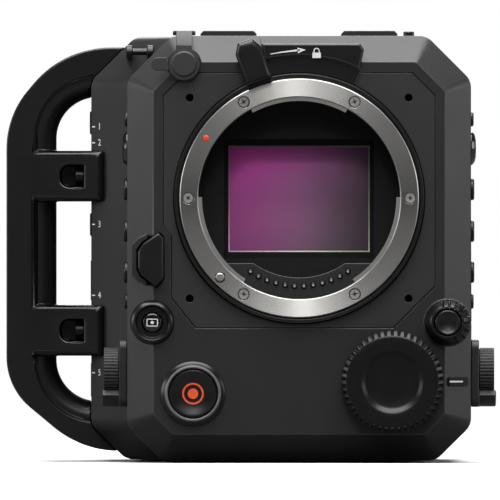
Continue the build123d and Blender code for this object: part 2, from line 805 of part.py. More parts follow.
# Lock ring round the mount, with its radial lever
with BuildPart() as lock_lever:
    ring_front_y = front_y - lock_ring_front
    flange_front_y = plate_back_y + 0.4
    add(turned([(lock_ring_inner, ring_front_y + 0.3), (lock_ring_inner + 0.3, ring_front_y),
                (lock_ring_outer - 0.3, ring_front_y), (lock_ring_outer, ring_front_y + 0.3),
                (lock_ring_outer, flange_front_y), (lock_flange_outer, flange_front_y),
                (lock_flange_outer, flange_front_y + lock_flange_thickness),
                (lock_ring_inner, flange_front_y + lock_flange_thickness)], 0.0, mount_z))
    with BuildSketch(facing_front(front_y - lock_band_height - 0.4)):
        add(ring_sector(lock_ring_inner, lock_ring_outer + 2.8, lever_angle, 12.0, 0.0, mount_z))
    extrude(amount=front_y - lock_band_height - 0.4 - (lever_back_y - 1.6))
    # The lever's outline, across and along its own direction from the lens axis
    with BuildSketch(Plane(origin=(0, lever_back_y, mount_z), x_dir=(math.sin(math.radians(lever_angle)), 0,
                           -math.cos(math.radians(lever_angle))), z_dir=(0, -1, 0))):
        with BuildLine():
            lever_steps = lever_overlap, lever_shoulder, lever_reach
            root, shoulder, tip = [lock_ring_inner + step for step in lever_steps]
            Polyline((-lever_root_half, root), (lever_root_half, root), (lever_head_half, shoulder),
                     (lever_tip_half, tip), (-lever_tip_half, tip), (-lever_head_half, shoulder), close=True)
        make_face()
    extrude(amount=lever_height)
    fillet(lock_lever.faces().sort_by(Axis.Y)[0].edges(), radius=lever_roll)
lock_lever.part.label = "lock_lever"
export_step(lock_lever.part, "parts/lock_lever.step")

# Raised plate that the lever passes over, with a low band beside the ring
with BuildPart() as lock_plate:
    plate_low_angle, plate_high_angle = lock_band_angles
    top_z = casing_top - lock_plate_margin
    with BuildSketch(facing_front(front_y)):
        with BuildLine():
            lower = CenterArc((0, mount_z), lock_band_outer, lock_plate_start_angle,
                              plate_high_angle - lock_plate_start_angle)
            Polyline(lower @ 1, (lock_plate_left, top_z), (lock_plate_right, top_z),
                     (lock_plate_right + lock_plate_nose, top_z - lock_plate_nose_drop),
                     (lock_plate_right - 0.1, top_z - lock_plate_end_drop), lower @ 0)
        make_face()
    extrude(amount=lock_plate_height)
    chamfer(lock_plate.faces().sort_by(Axis.Y)[0].edges(), length=lock_plate_chamfer)
    with BuildSketch(facing_front(front_y)):
        add(ring_sector(lock_hole, lock_band_outer + 0.2, (plate_low_angle + plate_high_angle) / 2,
                        plate_high_angle - plate_low_angle, 0.0, mount_z))
    extrude(amount=lock_band_height)
lock_plate.part.label = "lock_plate"
export_step(lock_plate.part, "parts/lock_plate.step")

# Light box: the tube under the bayonet ring, its flange, the window and the filter's runners
with BuildPart() as light_box:
    add(turned([(box_bore, ring_back_y), (box_outer, ring_back_y), (box_outer, wall_back_y),
                (box_outer + 2.4, wall_back_y), (box_outer + 2.4, box_back_y), (0, box_back_y),
                (0, throat_back_y), (box_bore, throat_back_y)], 0.0, mount_z))
    flange_half = half_width - cavity_inset - running
    flange_top = casing_top - cavity_inset - running
    with BuildSketch(facing_front(wall_back_y + 3.0)):
        with Locations((0, mount_z)):
            Circle(box_flange)
            Circle(box_outer, mode=Mode.SUBTRACT)
        with Locations((0, flange_top - box_flange)):
            Rectangle(2 * flange_half, 2 * box_flange, mode=Mode.INTERSECT)
    extrude(amount=3.0)
    cut(slab((-box_window_width / 2, box_window_width / 2), (throat_back_y - 1.0, box_back_y + 1.0),
             (sensor_z - box_window_height / 2, sensor_z + box_window_height / 2)))
    for side in (1, -1):
        inner = side * (filter_width / 2 + running)
        outer = side * (filter_width / 2 + running + runner_width)
        add(slab((min(inner, outer), max(inner, outer)), (box_back_y - 1.0, frame_front_y),
                 (filter_low_z, sensor_z + sensor_frame_height / 2)))
    for step in range(screw_count):
        angle = math.radians(360.0 * step / screw_count)
        screw_x, screw_z = screw_circle * math.cos(angle), mount_z + screw_circle * math.sin(angle)
        cut(rod(screw_radius + screw_fit, ring_back_y - 1.0, flange_y + screw_length + 0.3, screw_x, screw_z))
    cut(rod(pin_radius + shaft_fit, ring_back_y - 1.0, box_back_y - 1.5, pin_x, pin_z))
    cut(slab((release_left - running, release_right + running), (wall_back_y - 1.0, box_back_y + 1.0),
             (release_low - running, release_high + running)))
    with BuildSketch(facing_front(wall_back_y + 4.0)):
        with Locations((0, mount_z)):
            with GridLocations(pattern_width, pattern_height, 2, 2):
                Circle(pattern_radius)
    extrude(amount=5.0, mode=Mode.SUBTRACT)
light_box.part.label = "light_box"
export_step(light_box.part, "parts/light_box.step")

# Locking pin that the lens turns against
with BuildPart() as lens_lock_pin:
    add(turned([(0, flange_y - pin_height), (pin_radius - 0.4, flange_y - pin_height),
                (pin_radius, flange_y - pin_height + 0.4), (pin_radius, box_back_y - 2.0 - pin_travel),
                (0, box_back_y - 2.0 - pin_travel)], pin_x, pin_z))
lens_lock_pin.part.label = "lens_lock_pin"
export_step(lens_lock_pin.part, "parts/lens_lock_pin.step")

# Contact block at the bottom of the throat
contact_front_y = flange_y + contact_setback
with BuildPart() as contact_block:
    with BuildSketch(facing_front(contact_front_y + contact_depth)):
        with Locations((0, mount_z)):
            Circle(box_bore - 0.02)
            Circle(contact_lip, mode=Mode.SUBTRACT)
        with Locations((0, contact_top_z + box_outer)):
            Rectangle(2 * box_outer, 2 * box_outer, mode=Mode.SUBTRACT)
    extrude(amount=contact_depth)
    for step in range(contact_count):
        angle = math.radians(-90.0 + (step - (contact_count - 1) / 2) * contact_pitch)
        cut(rod(contact_radius + screw_fit, contact_front_y - 1.0, contact_front_y + 4.0,
                contact_circle * math.cos(angle), mount_z + contact_circle * math.sin(angle)))
contact_block.part.label = "contact_block"
export_step(contact_block.part, "parts/contact_block.step")

# Twelve round contacts
with BuildPart() as contact_pins:
    for step in range(contact_count):
        angle = math.radians(-90.0 + (step - (contact_count - 1) / 2) * contact_pitch)
        add(turned([(0, contact_front_y - 0.7), (contact_radius - 0.3, contact_front_y - 0.7),
                    (contact_radius, contact_front_y - 0.4), (contact_radius, contact_front_y + 3.9),
                    (0, contact_front_y + 3.9)],
                   contact_circle * math.cos(angle), mount_z + contact_circle * math.sin(angle)))
contact_pins.part.label = "contact_pins"
export_step(contact_pins.part, "parts/contact_pins.step")

# Framed density filter, parked below the light path
filter_front_y = box_back_y + 0.5
with BuildPart() as density_filter:
    add(slab((-filter_width / 2, filter_width / 2), (filter_front_y, filter_front_y + filter_thickness),
             (filter_low_z, filter_low_z + filter_height)))
    rim = 2.4
    cut(slab((-filter_width / 2 + rim, filter_width / 2 - rim),
             (filter_front_y - 1.0, filter_front_y + 0.4),
             (filter_low_z + rim, filter_low_z + filter_height - rim)))
density_filter.part.label = "density_filter"
export_step(density_filter.part, "parts/density_filter.step")

# Sensor frame, cover glass and sensor
half_frame_w, half_frame_h = sensor_frame_width / 2, sensor_frame_height / 2
with BuildPart() as sensor_frame:
    add(slab((-half_frame_w, half_frame_w), (frame_front_y, frame_back_y),
             (sensor_z - half_frame_h, sensor_z + half_frame_h)))
    cut(slab((-sensor_window_width / 2, sensor_window_width / 2), (frame_front_y - 1.0, frame_back_y + 1.0),
             (sensor_z - sensor_window_height / 2, sensor_z + sensor_window_height / 2)))
    cut(slab((-sensor_package_width / 2 - seam, sensor_package_width / 2 + seam),
             (glass_front_y, frame_back_y + 1.0),
             (sensor_z - sensor_package_height / 2 - seam, sensor_z + sensor_package_height / 2 + seam)))
sensor_frame.part.label = "sensor_frame"
export_step(sensor_frame.part, "parts/sensor_frame.step")

package_x = (-sensor_package_width / 2, sensor_package_width / 2)
package_z = (sensor_z - sensor_package_height / 2, sensor_z + sensor_package_height / 2)
with BuildPart() as sensor_glass:
    add(slab(package_x, (glass_front_y, glass_front_y + cover_glass_thickness), package_z))
sensor_glass.part.label = "sensor_glass"
export_step(sensor_glass.part, "parts/sensor_glass.step")

with BuildPart() as image_sensor:
    add(slab(package_x, (sensor_y, frame_back_y), package_z))
image_sensor.part.label = "image_sensor"
export_step(image_sensor.part, "parts/image_sensor.step")

# Sensor board behind the frame, main board standing on the rear cover
board_back_y = frame_back_y + board_thickness
with BuildPart() as circuit_boards:
    add(slab((-half_frame_w + 2.0, half_frame_w - 2.0), (frame_back_y, board_back_y),
             (sensor_z - half_frame_h + 2.0, sensor_z + half_frame_h - 2.0)))
    add(slab((board_x, board_x + board_thickness), (board_front_y, casing_back),
             (board_low_z, casing_top - board_drop)))
circuit_boards.part.label = "circuit_boards"
export_step(circuit_boards.part, "parts/circuit_boards.step")

# Finned heat sink behind the sensor
with BuildPart() as heat_sink:
    add(slab((-sink_width / 2, sink_width / 2), (board_back_y, board_back_y + sink_base),
             (sensor_z - sink_height / 2, sensor_z + sink_height / 2)))
    fin_pitch = (sink_width - fin_thickness) / (sink_fins - 1)
    for row in range(sink_fins):
        fin_x = -sink_width / 2 + row * fin_pitch
        add(slab((fin_x, fin_x + fin_thickness), (board_back_y + sink_base, board_back_y + sink_depth),
                 (sensor_z - sink_height / 2, sensor_z + sink_height / 2)))
heat_sink.part.label = "heat_sink"
export_step(heat_sink.part, "parts/heat_sink.step")

# Fan frame against the right wall, behind the air outlet
with BuildPart() as fan_frame:
    add(slab((inner_right - fan_depth, inner_right), (fan_y - fan_size / 2, fan_y + fan_size / 2),
             (fan_z - fan_size / 2, fan_z + fan_size / 2)))
    cut(side_rod(fan_radius + 0.7, inner_right - fan_depth + 2.0, inner_right + 1.0, 1, fan_y, fan_z))
    for hole in (45.0, 135.0, 225.0, 315.0):
        cut(side_rod(5.0, inner_right - fan_depth - 1.0, inner_right - fan_depth + 3.0, 1,
                     fan_y + 10.4 * math.cos(math.radians(hole)),
                     fan_z + 10.4 * math.sin(math.radians(hole))))
    cut(side_rod(fan_shaft + shaft_fit, inner_right - fan_depth - 1.0, inner_right, 1, fan_y, fan_z))
fan_frame.part.label = "fan_frame"
export_step(fan_frame.part, "parts/fan_frame.step")

# Fan rotor: hub, shaft and slanted blades
with BuildPart() as cooling_fan:
    hub_in, hub_out = inner_right - fan_depth + 2.4, inner_right - 0.6
    add(side_rod(fan_hub, hub_in, hub_out, 1, fan_y, fan_z))
    add(side_rod(fan_shaft, inner_right - fan_depth, hub_in, 1, fan_y, fan_z))
    for blade in range(fan_blades):
        turn = 360.0 * blade / fan_blades
        blade_plane = Plane(origin=((hub_in + hub_out) / 2, fan_y, fan_z), x_dir=(1, 0, 0),
                            z_dir=(0, math.cos(math.radians(turn)), math.sin(math.radians(turn))))
        with BuildSketch(blade_plane.offset(fan_hub - 1.0)):
            Rectangle(6.4, 0.9, rotation=38.0)
        extrude(amount=fan_radius - fan_hub + 0.6)
cooling_fan.part.label = "cooling_fan"
export_step(cooling_fan.part, "parts/cooling_fan.step")

# Bezels of the two round front buttons
with BuildPart() as button_bezels:
    add(turned([(record_radius + running, front_y - 2.0), (record_radius + running + 0.4, front_y - 2.4),
                (record_ring - 0.5, front_y - 2.4), (record_ring, front_y - 1.9),
                (record_collar - 0.6, front_y - 1.0),
                (record_collar, front_y - 0.6), (record_collar, front_y), (record_ring, front_y),
                (record_ring, wall_back_y), (record_radius + running, wall_back_y)], record_x, record_z))
    bezel_back = front_y + edge_bevel + 1.0
    add(turned([(grab_radius + running, front_y - 0.2), (grab_recess - 0.3, front_y - 0.2),
                (grab_recess, front_y - 1.2), (grab_recess + 0.5, front_y - 1.7),
                (grab_collar - 0.7, front_y - 1.4),
                (grab_collar, front_y - 0.6), (grab_collar, bezel_back), (grab_radius + running, bezel_back)],
               grab_x, grab_z))
button_bezels.part.label = "button_bezels"
export_step(button_bezels.part, "parts/button_bezels.step")

# Record button, dished
with BuildPart() as record_button:
    add(turned([(0, front_y - 0.9), (record_radius * 0.5, front_y - 1.1),
                (record_radius - 0.9, front_y - 1.9),
                (record_radius - 0.3, front_y - 1.9), (record_radius, front_y - 1.6),
                (record_radius, wall_back_y), (0, wall_back_y)], record_x, record_z))
record_button.part.label = "record_button"
export_step(record_button.part, "parts/record_button.step")

with BuildPart() as grab_button:
    add(turned([(0, front_y - 1.3), (grab_radius - 0.5, front_y - 1.1), (grab_radius, front_y - 0.7),
                (grab_radius, bezel_back), (0, bezel_back)], grab_x, grab_z))
grab_button.part.label = "grab_button"
export_step(grab_button.part, "parts/grab_button.step")

# Lens release button
with BuildPart() as release_button:
    with BuildSketch(facing_front(cavity_back_y)):
        add(release_outline(0.0))
    extrude(amount=cavity_back_y - front_y + release_height)
    chamfer(release_button.faces().sort_by(Axis.Y)[0].edges(), length=0.5)
release_button.part.label = "release_button"
export_step(release_button.part, "parts/release_button.step")

# Large dial: knurled rim, flat face, dished centre, shaft through the wall
with BuildPart() as filter_dial:
    dial_back_y = front_y - 0.5
    dial_front_y = dial_back_y - dial_height
    with BuildSketch(facing_front(dial_back_y)):
        with Locations((dial_x, dial_z)):
            Circle(dial_radius)
            with PolarLocations(dial_radius + 0.05, dial_teeth):
                Circle(0.8, mode=Mode.SUBTRACT)
    extrude(amount=dial_height - 1.0)
    add(turned([(0, dial_back_y - 1.0), (dial_rim_radius, dial_back_y - 1.0),
                (dial_rim_radius, dial_front_y + 0.6), (dial_face_radius, dial_front_y),
                (dial_dish_radius, dial_front_y),
                (dial_dish_radius - dial_dish_slope, dial_front_y + dial_dish_depth),
                (0, dial_front_y + dial_dish_depth + 0.2)], dial_x, dial_z))
    add(rod(dial_shaft, dial_back_y - 1.0, wall_back_y + 1.5, dial_x, dial_z))
filter_dial.part.label = "filter_dial"
export_step(filter_dial.part, "parts/filter_dial.step")

# Corner dial: a cone with finger grooves over part of its rim, hollow for its button
corner_seat_y = front_y - seat_height
with BuildPart() as corner_dial:
    corner_back_y = corner_seat_y - 0.3
    corner_front_y = corner_back_y - corner_dial_height
    sleeve = corner_button_radius + running
    add(turned([(sleeve, corner_front_y + 0.4), (sleeve + 0.4, corner_front_y),
                (corner_face_radius, corner_front_y),
                (corner_dial_radius, corner_back_y - 1.8), (corner_dial_radius, corner_back_y),
                (sleeve + 0.6, corner_back_y), (sleeve + 0.6, cavity_back_y), (sleeve, cavity_back_y)],
               corner_x, corner_z))
    with BuildSketch(facing_front(corner_back_y - 1.4)):
        with Locations((corner_x, corner_z)):
            with PolarLocations(corner_dial_radius - 0.3, corner_groove_count, corner_groove_start,
                                corner_groove_span, endpoint=True):
                Rectangle(corner_groove_length, corner_groove_width)
    extrude(amount=corner_dial_height, mode=Mode.SUBTRACT)
corner_dial.part.label = "corner_dial"
export_step(corner_dial.part, "parts/corner_dial.step")

with BuildPart() as corner_button:
    add(turned([(0, corner_front_y + 0.5), (corner_button_radius - 1.6, corner_front_y + 0.4),
                (corner_button_radius - 0.5, corner_front_y - 0.2),
                (corner_button_radius, corner_front_y + 0.3),
                (corner_button_radius, cavity_back_y), (0, cavity_back_y)], corner_x, corner_z))
corner_button.part.label = "corner_button"
export_step(corner_button.part, "parts/corner_button.step")

# Index mark on the right bevel beside the large dial
index_x, index_length, index_width, index_thickness = half_width - 4.65, 8.9, 3.0, 0.8
index_depth = front_y + (index_x - half_width + edge_bevel)
with BuildPart() as dial_index:
    with BuildSketch(Plane(origin=(index_x, index_depth, dial_z), x_dir=(1, 1, 0), z_dir=(1, -1, 0))):
        RectangleRounded(index_length, index_width, 0.6)
    extrude(amount=index_thickness)
dial_index.part.label = "dial_index"
export_step(dial_index.part, "parts/dial_index.step")

# Rubber cap of the front socket: disc, pull tab, strap over the bevel and the bar it swings on
with BuildPart() as dc_cap:
    cap_back_y = front_y - seat_height - 0.3
    bar_z = casing_top + 0.35 + cap_strap_thickness / 2
    add(turned([(0, cap_back_y - cap_thickness - 0.5),
                (cap_disc_radius - 0.4, cap_back_y - cap_thickness - 0.5),
                (cap_disc_radius, cap_back_y - cap_thickness), (cap_radius - 0.4, cap_back_y - cap_thickness),
                (cap_radius, cap_back_y - cap_thickness + 0.4), (cap_radius, cap_back_y),
                (dc_socket_bore - 1.2, cap_back_y), (dc_socket_bore - 1.2, cap_back_y + 1.0),
                (0, cap_back_y + 1.0)], cap_x, cap_z))
    with BuildSketch(facing_front(cap_back_y)):
        with Locations((cap_x - 7.0, cap_z)):
            SlotOverall(8.0, 4.4)
    extrude(amount=cap_thickness - 0.2)
    # The strap's side view: up from the cap, back along the bevel, over the edge to the bar
    away = cap_strap_thickness * math.sqrt(2)
    lift = 0.35 * math.sqrt(2)
    inner_top_z = casing_top - edge_bevel
    with BuildSketch(Plane(origin=(cap_x - cap_strap_width / 2, 0, 0), x_dir=(0, 1, 0), z_dir=(1, 0, 0))):
        with BuildLine():
            Polyline(
                (cap_back_y, cap_z + 3.0),
                (cap_back_y, inner_top_z + 0.3 + front_y - cap_back_y + lift + 4.0),
                (front_y + edge_bevel - 0.2, casing_top + lift), (cap_bar_y, casing_top + 0.35),
                (cap_bar_y, casing_top + 0.35 + cap_strap_thickness),
                (front_y + edge_bevel - 0.5, casing_top + 0.35 + cap_strap_thickness),
                (cap_back_y - cap_strap_thickness, cap_z + 6.4),
                (cap_back_y - cap_strap_thickness, cap_z + 3.0),
                close=True,
            )
        make_face()
    extrude(amount=cap_strap_width)
    with BuildSketch(Plane(origin=(cap_x - cap_bar_length / 2, 0, 0), x_dir=(0, 1, 0), z_dir=(1, 0, 0))):
        with Locations((cap_bar_y, bar_z)):
            Circle(0.75)
    extrude(amount=cap_bar_length)
dc_cap.part.label = "dc_cap"
export_step(dc_cap.part, "parts/dc_cap.step")

# Small button on the top
with BuildPart() as top_button:
    with BuildSketch(Plane.XY.offset(casing_top - side_wall)):
        with Locations((top_button_x, top_button_y)):
            Circle(top_button_radius)
    extrude(amount=side_wall + top_button_height)
    chamfer(top_button.faces().sort_by(Axis.Z)[-1].edges(), length=0.3)
top_button.part.label = "top_button"
export_step(top_button.part, "parts/top_button.step")

# Side buttons, domed control sticks and ribbed wheels, alike on both sides
for side, side_name in ((1, "right"), (-1, "left")):
    for number, (drop, radius, stand) in enumerate(side_buttons, start=1):
        with BuildPart() as side_button:
            outer = half_width + stand
            add(turned_sideways([(0, inner_right), (radius, inner_right), (radius, outer - 0.4),
                                 (radius - 0.4, outer), (0, outer)], side, control_y, casing_top - drop))
        side_button.part.label = f"{side_name}_button_{number}"
        export_step(side_button.part, f"parts/{side_name}_button_{number}.step")

    with BuildPart() as control_stick:
        outer = half_width + stick_height
        add(turned_sideways([(0, inner_right), (stick_radius, inner_right), (stick_radius, half_width + 0.3),
                             (stick_radius * 0.82, outer - 0.5), (stick_radius * 0.5, outer - 0.1),
                             (0, outer)],
                            side, control_y, stick_z))
    control_stick.part.label = f"{side_name}_stick"
    export_step(control_stick.part, f"parts/{side_name}_stick.step")

    with BuildPart() as side_wheel:
        wheel_inner = half_width + wheel_base_thickness + 0.3
        with BuildSketch(facing_side(side, wheel_inner)):
            with Locations((side * control_y, wheel_z)):
                Circle(wheel_radius)
                with PolarLocations(wheel_radius + 0.1, wheel_ribs):
                    Circle(0.36, mode=Mode.SUBTRACT)
        extrude(amount=wheel_width)
        cut(side_rod(wheel_radius - 2.2, wheel_inner + wheel_width - 0.8, wheel_inner + wheel_width + 1.0,
                     side,
                     control_y, wheel_z))
        add(side_rod(wheel_shaft, inner_right - 1.0, wheel_inner + 1.0, side, control_y, wheel_z))
    side_wheel.part.label = f"{side_name}_wheel"
    export_step(side_wheel.part, f"parts/{side_name}_wheel.step")

# Bases of the two side wheels, each with a guard round the lower part of its wheel
with BuildPart() as wheel_bases:
    for side in (1, -1):
        with BuildSketch(facing_side(side, half_width)):
            with Locations((side * control_y, wheel_z - 0.3)):
                RectangleRounded(wheel_base_depth, wheel_base_height, 3.0)
            with Locations((side * control_y, wheel_z)):
                Circle(wheel_shaft + shaft_fit, mode=Mode.SUBTRACT)
        extrude(amount=wheel_base_thickness)
        with BuildSketch(facing_side(side, half_width + wheel_base_thickness)):
            add(ring_sector(wheel_radius + 0.4, wheel_radius + 3.2, 270.0, 96.0, side * control_y, wheel_z))
        extrude(amount=wheel_guard_width)
wheel_bases.part.label = "wheel_bases"
export_step(wheel_bases.part, "parts/wheel_bases.step")

# Guard frame: a rounded D of bar whose inner edge is a tube set a little lower, with two struts to the fairing
with BuildPart() as guard_frame:
    guard_back_y = guard_front_y + guard_depth
    guard_tube_y = guard_front_y + guard_tube_step
    opening_left = guard_left + guard_bar - 0.4
    opening_rise = (guard_top - guard_bottom) / 2 - guard_bar + 0.4
    guard_middle = (guard_top + guard_bottom) / 2
    with BuildSketch(facing_front(guard_back_y)):
        with BuildLine():
            FilletPolyline(
                (guard_end_x, guard_bottom), (guard_end_x, guard_top),
                (guard_left + guard_top_bevel[0], guard_top),
                (guard_left, guard_top - guard_top_bevel[1]), (guard_left, guard_bottom + guard_low_bevel[1]),
                (guard_left + guard_low_bevel[0], guard_bottom),
                radius=[0.1, 0.1, guard_end_radius, *guard_side_radii, guard_end_radius], close=True,
            )
        make_face()
        add(guard_opening(0.0), mode=Mode.SUBTRACT)
    extrude(amount=guard_depth)
    with BuildSketch(facing_front(guard_tube_y)):
        add(guard_opening(guard_tube_width))
    extrude(amount=guard_tube_step + 1.0, mode=Mode.SUBTRACT)
    tube_edges = guard_frame.edges().filter_by(lambda edge: abs(edge.center().Y - guard_tube_y) < 0.01)
    inner_loop = tube_edges.filter_by(lambda edge: opening_left < edge.center().X < guard_gap_end_x - 0.5)
    inner_loop = inner_loop.filter_by(lambda edge: abs(edge.center().Z - guard_middle) < opening_rise)
    fillet(inner_loop, radius=guard_tube_roll)
    for height in strut_heights:
        add(strut_form(height))
        low, high = height - pocket_height / 2, height + pocket_height / 2
        with BuildSketch(facing_front(guard_screw_y + guard_screw_head + 0.5)):
            with BuildLine():
                FilletPolyline(
                    (socket_wall_x - pocket_web, low), (socket_wall_x - pocket_web, high),
                    (pocket_left, high), (pocket_left, low), radius=[0.4, 0.4, 3.0, 3.0], close=True,
                )
            make_face()
        extrude(amount=30.0, mode=Mode.SUBTRACT)
        cut(side_rod(guard_screw_radius + screw_fit, -socket_wall_x - 6.0,
                     -socket_wall_x + pocket_web + 1.0, -1,
                     guard_screw_y, height))
    cut(casing_form.part)
guard_frame.part.label = "guard_frame"
export_step(guard_frame.part, "parts/guard_frame.step")

# Socket-head screws in the struts' pockets
with BuildPart() as guard_screws:
    head_x = -socket_wall_x + pocket_web
    for height in strut_heights:
        add(side_rod(guard_screw_radius, head_x - guard_screw_length, head_x, -1, guard_screw_y, height))
        add(side_rod(guard_screw_head, head_x, head_x + guard_screw_head_height, -1, guard_screw_y, height))
        with BuildSketch(facing_side(-1, head_x + guard_screw_head_height - 1.6)):
            with Locations((-guard_screw_y, height)):
                RegularPolygon(1.5, 6)
        extrude(amount=3.0, mode=Mode.SUBTRACT)
guard_screws.part.label = "guard_screws"
export_step(guard_screws.part, "parts/guard_screws.step")

# Tie bar at the top corner of the socket side
with BuildPart() as tie_bar:
    with BuildSketch(Plane(origin=(tie_left, 0, 0), x_dir=(0, 1, 0), z_dir=(1, 0, 0))):
        with Locations((tie_y, tie_z)):
            Circle(tie_radius)
    extrude(amount=tie_right - tie_left)
    for arm in (tie_left, tie_right - tie_arm):
        with BuildSketch(Plane(origin=(arm, 0, 0), x_dir=(0, 1, 0), z_dir=(1, 0, 0))):
            with Locations((tie_y + tie_arm_length / 2, tie_z)):
                SlotOverall(tie_arm_length + tie_arm_height, tie_arm_height)
        extrude(amount=tie_arm)
    cut(casing_form.part)
    cut(front_casing.part)
tie_bar.part.label = "tie_bar"
export_step(tie_bar.part, "parts/tie_bar.step")

# Sockets: three round jacks, network, data, and the front power socket
with BuildPart() as signal_sockets:
    wall_out = -socket_wall_x
    for jack_y, jack_z in jack_places:
        add(turned_sideways([(jack_hole, wall_out - jack_depth), (jack_radius, wall_out - jack_depth),
                             (jack_radius, wall_out + jack_stand - 0.3),
                             (jack_radius - 0.3, wall_out + jack_stand),
                             (jack_hole + 0.4, wall_out + jack_stand),
                             (jack_hole, wall_out + jack_stand - 0.4)],
                            -1, jack_y, jack_z))
    add(slab((socket_wall_x - 0.3, socket_wall_x + network_hole_depth + 3.0),
             (network_y - network_width / 2, network_y + network_width / 2),
             (network_z - network_height / 2, network_z + network_height / 2)))
    cut(slab((socket_wall_x - 1.0, socket_wall_x + network_hole_depth),
             (network_y - network_hole_width / 2, network_y + network_hole_width / 2),
             (network_z - network_hole_height / 2, network_z + network_hole_height / 2)))
    add(slab((socket_wall_x - 0.3, socket_wall_x + 8.0), (data_y - data_width / 2, data_y + data_width / 2),
             (data_z - data_height / 2, data_z + data_height / 2)))
    with BuildSketch(facing_side(-1, -socket_wall_x - 6.0)):
        with Locations(Location((-data_y, data_z), 90.0)):
            SlotOverall(data_slot_height, data_slot)
    extrude(amount=8.0, mode=Mode.SUBTRACT)
    add(turned([(dc_socket_bore, plate_back_y + 0.1), (dc_socket_radius, plate_back_y + 0.1),
                (dc_socket_radius, cavity_back_y + 1.0), (0, cavity_back_y + 1.0), (0, cavity_back_y - 2.0),
                (dc_socket_bore, cavity_back_y - 2.0)], cap_x, cap_z))
signal_sockets.part.label = "signal_sockets"
export_step(signal_sockets.part, "parts/signal_sockets.step")

# Rear sockets: two video barrels, a small video socket and the power inlet
with BuildPart() as rear_sockets:
    for video_x, video_z in video_places:
        add(turned([(0, casing_back - 2.0), (video_radius, casing_back - 2.0), (video_radius, cover_back),
                    (video_flange, cover_back), (video_flange, cover_back + 1.2),
                    (video_radius, cover_back + 1.2),
                    (video_radius, cover_back + video_length - 0.4),
                    (video_radius - 0.4, cover_back + video_length),
                    (video_bore, cover_back + video_length), (video_bore, cover_back + 1.0),
                    (0.7, cover_back + 1.0), (0.7, cover_back + video_length - 2.0),
                    (0, cover_back + video_length - 2.0)], video_x, video_z))
        with BuildSketch(Plane(origin=(video_x - video_radius - 1.2, 0, 0), x_dir=(0, 1, 0),
                               z_dir=(1, 0, 0))):
            with Locations((cover_back + video_length - 3.0, video_z)):
                Circle(0.9)
        extrude(amount=2.0)
        with BuildSketch(Plane(origin=(video_x + video_radius - 0.8, 0, 0), x_dir=(0, 1, 0),
                               z_dir=(1, 0, 0))):
            with Locations((cover_back + video_length - 3.0, video_z)):
                Circle(0.9)
        extrude(amount=2.0)
    add(turned([(0, casing_back - 2.0), (inlet_radius, casing_back - 2.0),
                (inlet_radius, cover_back + inlet_length),
                (inlet_bore, cover_back + inlet_length), (inlet_bore, cover_back - 2.0),
                (0, cover_back - 2.0)],
               inlet_x, inlet_z))
    with BuildSketch(facing_back(cover_back - 2.0)):
        with Locations((-inlet_x, inlet_z)):
            with PolarLocations(2.8, 4, start_angle=45.0):
                Circle(0.7)
    extrude(amount=inlet_length)
    add(slab((hdmi_x - hdmi_width / 2, hdmi_x + hdmi_width / 2), (casing_back - 2.0, cover_back + 0.3),
             (hdmi_z - hdmi_height / 2, hdmi_z + hdmi_height / 2)))
    cut(slab((hdmi_x - hdmi_slot_width / 2, hdmi_x + hdmi_slot_width / 2),
             (cover_back - 5.0, cover_back + 1.0),
             (hdmi_z - hdmi_slot_height / 2, hdmi_z + hdmi_slot_height / 2)))
rear_sockets.part.label = "rear_sockets"
export_step(rear_sockets.part, "parts/rear_sockets.step")

# Plate that the battery slides down on, with a T-shaped key
battery_high = battery_low + battery_height
plate_face_y = cover_back + rear_plate_thickness
key_x = (battery_x - key_width / 2, battery_x + key_width / 2)
neck_x = (battery_x - key_neck / 2, battery_x + key_neck / 2)
with BuildPart() as battery_plate:
    add(slab((battery_x - mount_plate_width / 2, battery_x + mount_plate_width / 2),
             (cover_back, plate_face_y),
             (battery_low - 3.0, battery_high)))
    fillet(battery_plate.edges().filter_by(Axis.Y), radius=3.0)
    add(slab(neck_x, (plate_face_y, plate_face_y + 1.6), (battery_low + 12.0, battery_high - 14.0)))
    add(slab(key_x, (plate_face_y + 1.6, plate_face_y + key_depth),
             (battery_low + 12.0, battery_high - 14.0)))
    add(slab((battery_x - battery_width / 2 + 4.0, battery_x + battery_width / 2 - 4.0),
             (plate_face_y, plate_face_y + 8.0), (battery_low - 3.0, battery_low - 0.3)))
battery_plate.part.label = "battery_plate"
export_step(battery_plate.part, "parts/battery_plate.step")

# Battery with the groove that fits the key, open at its foot
battery_front_y = plate_face_y + running
with BuildPart() as battery:
    add(slab((battery_x - battery_width / 2, battery_x + battery_width / 2),
             (battery_front_y, battery_front_y + battery_thickness), (battery_low, battery_high)))
    fillet(battery.edges().filter_by(Axis.Y), radius=battery_corner)
    chamfer(battery.faces().sort_by(Axis.Y)[-1].edges(), length=2.0)
    cut(slab((neck_x[0] - running, neck_x[1] + running), (battery_front_y - 1.0, battery_front_y + 3.0),
             (battery_low - 1.0, battery_high - 14.0 + running)))
    cut(slab((key_x[0] - running, key_x[1] + running),
             (battery_front_y + 1.0, plate_face_y + key_depth + running),
             (battery_low - 1.0, battery_high - 14.0 + running)))
battery.part.label = "battery"
export_step(battery.part, "parts/battery.step")

# Battery latch beside the plate
with BuildPart() as battery_latch:
    add(slab((latch_x - latch_width / 2, latch_x + latch_width / 2), (cover_back + 0.3, cover_back + 4.6),
             (latch_z - latch_height / 2, latch_z + latch_height / 2)))
    fillet(battery_latch.edges().filter_by(Axis.Y), radius=1.5)
    chamfer(battery_latch.faces().sort_by(Axis.Y)[-1].edges(), length=0.8)
battery_latch.part.label = "battery_latch"
export_step(battery_latch.part, "parts/battery_latch.step")

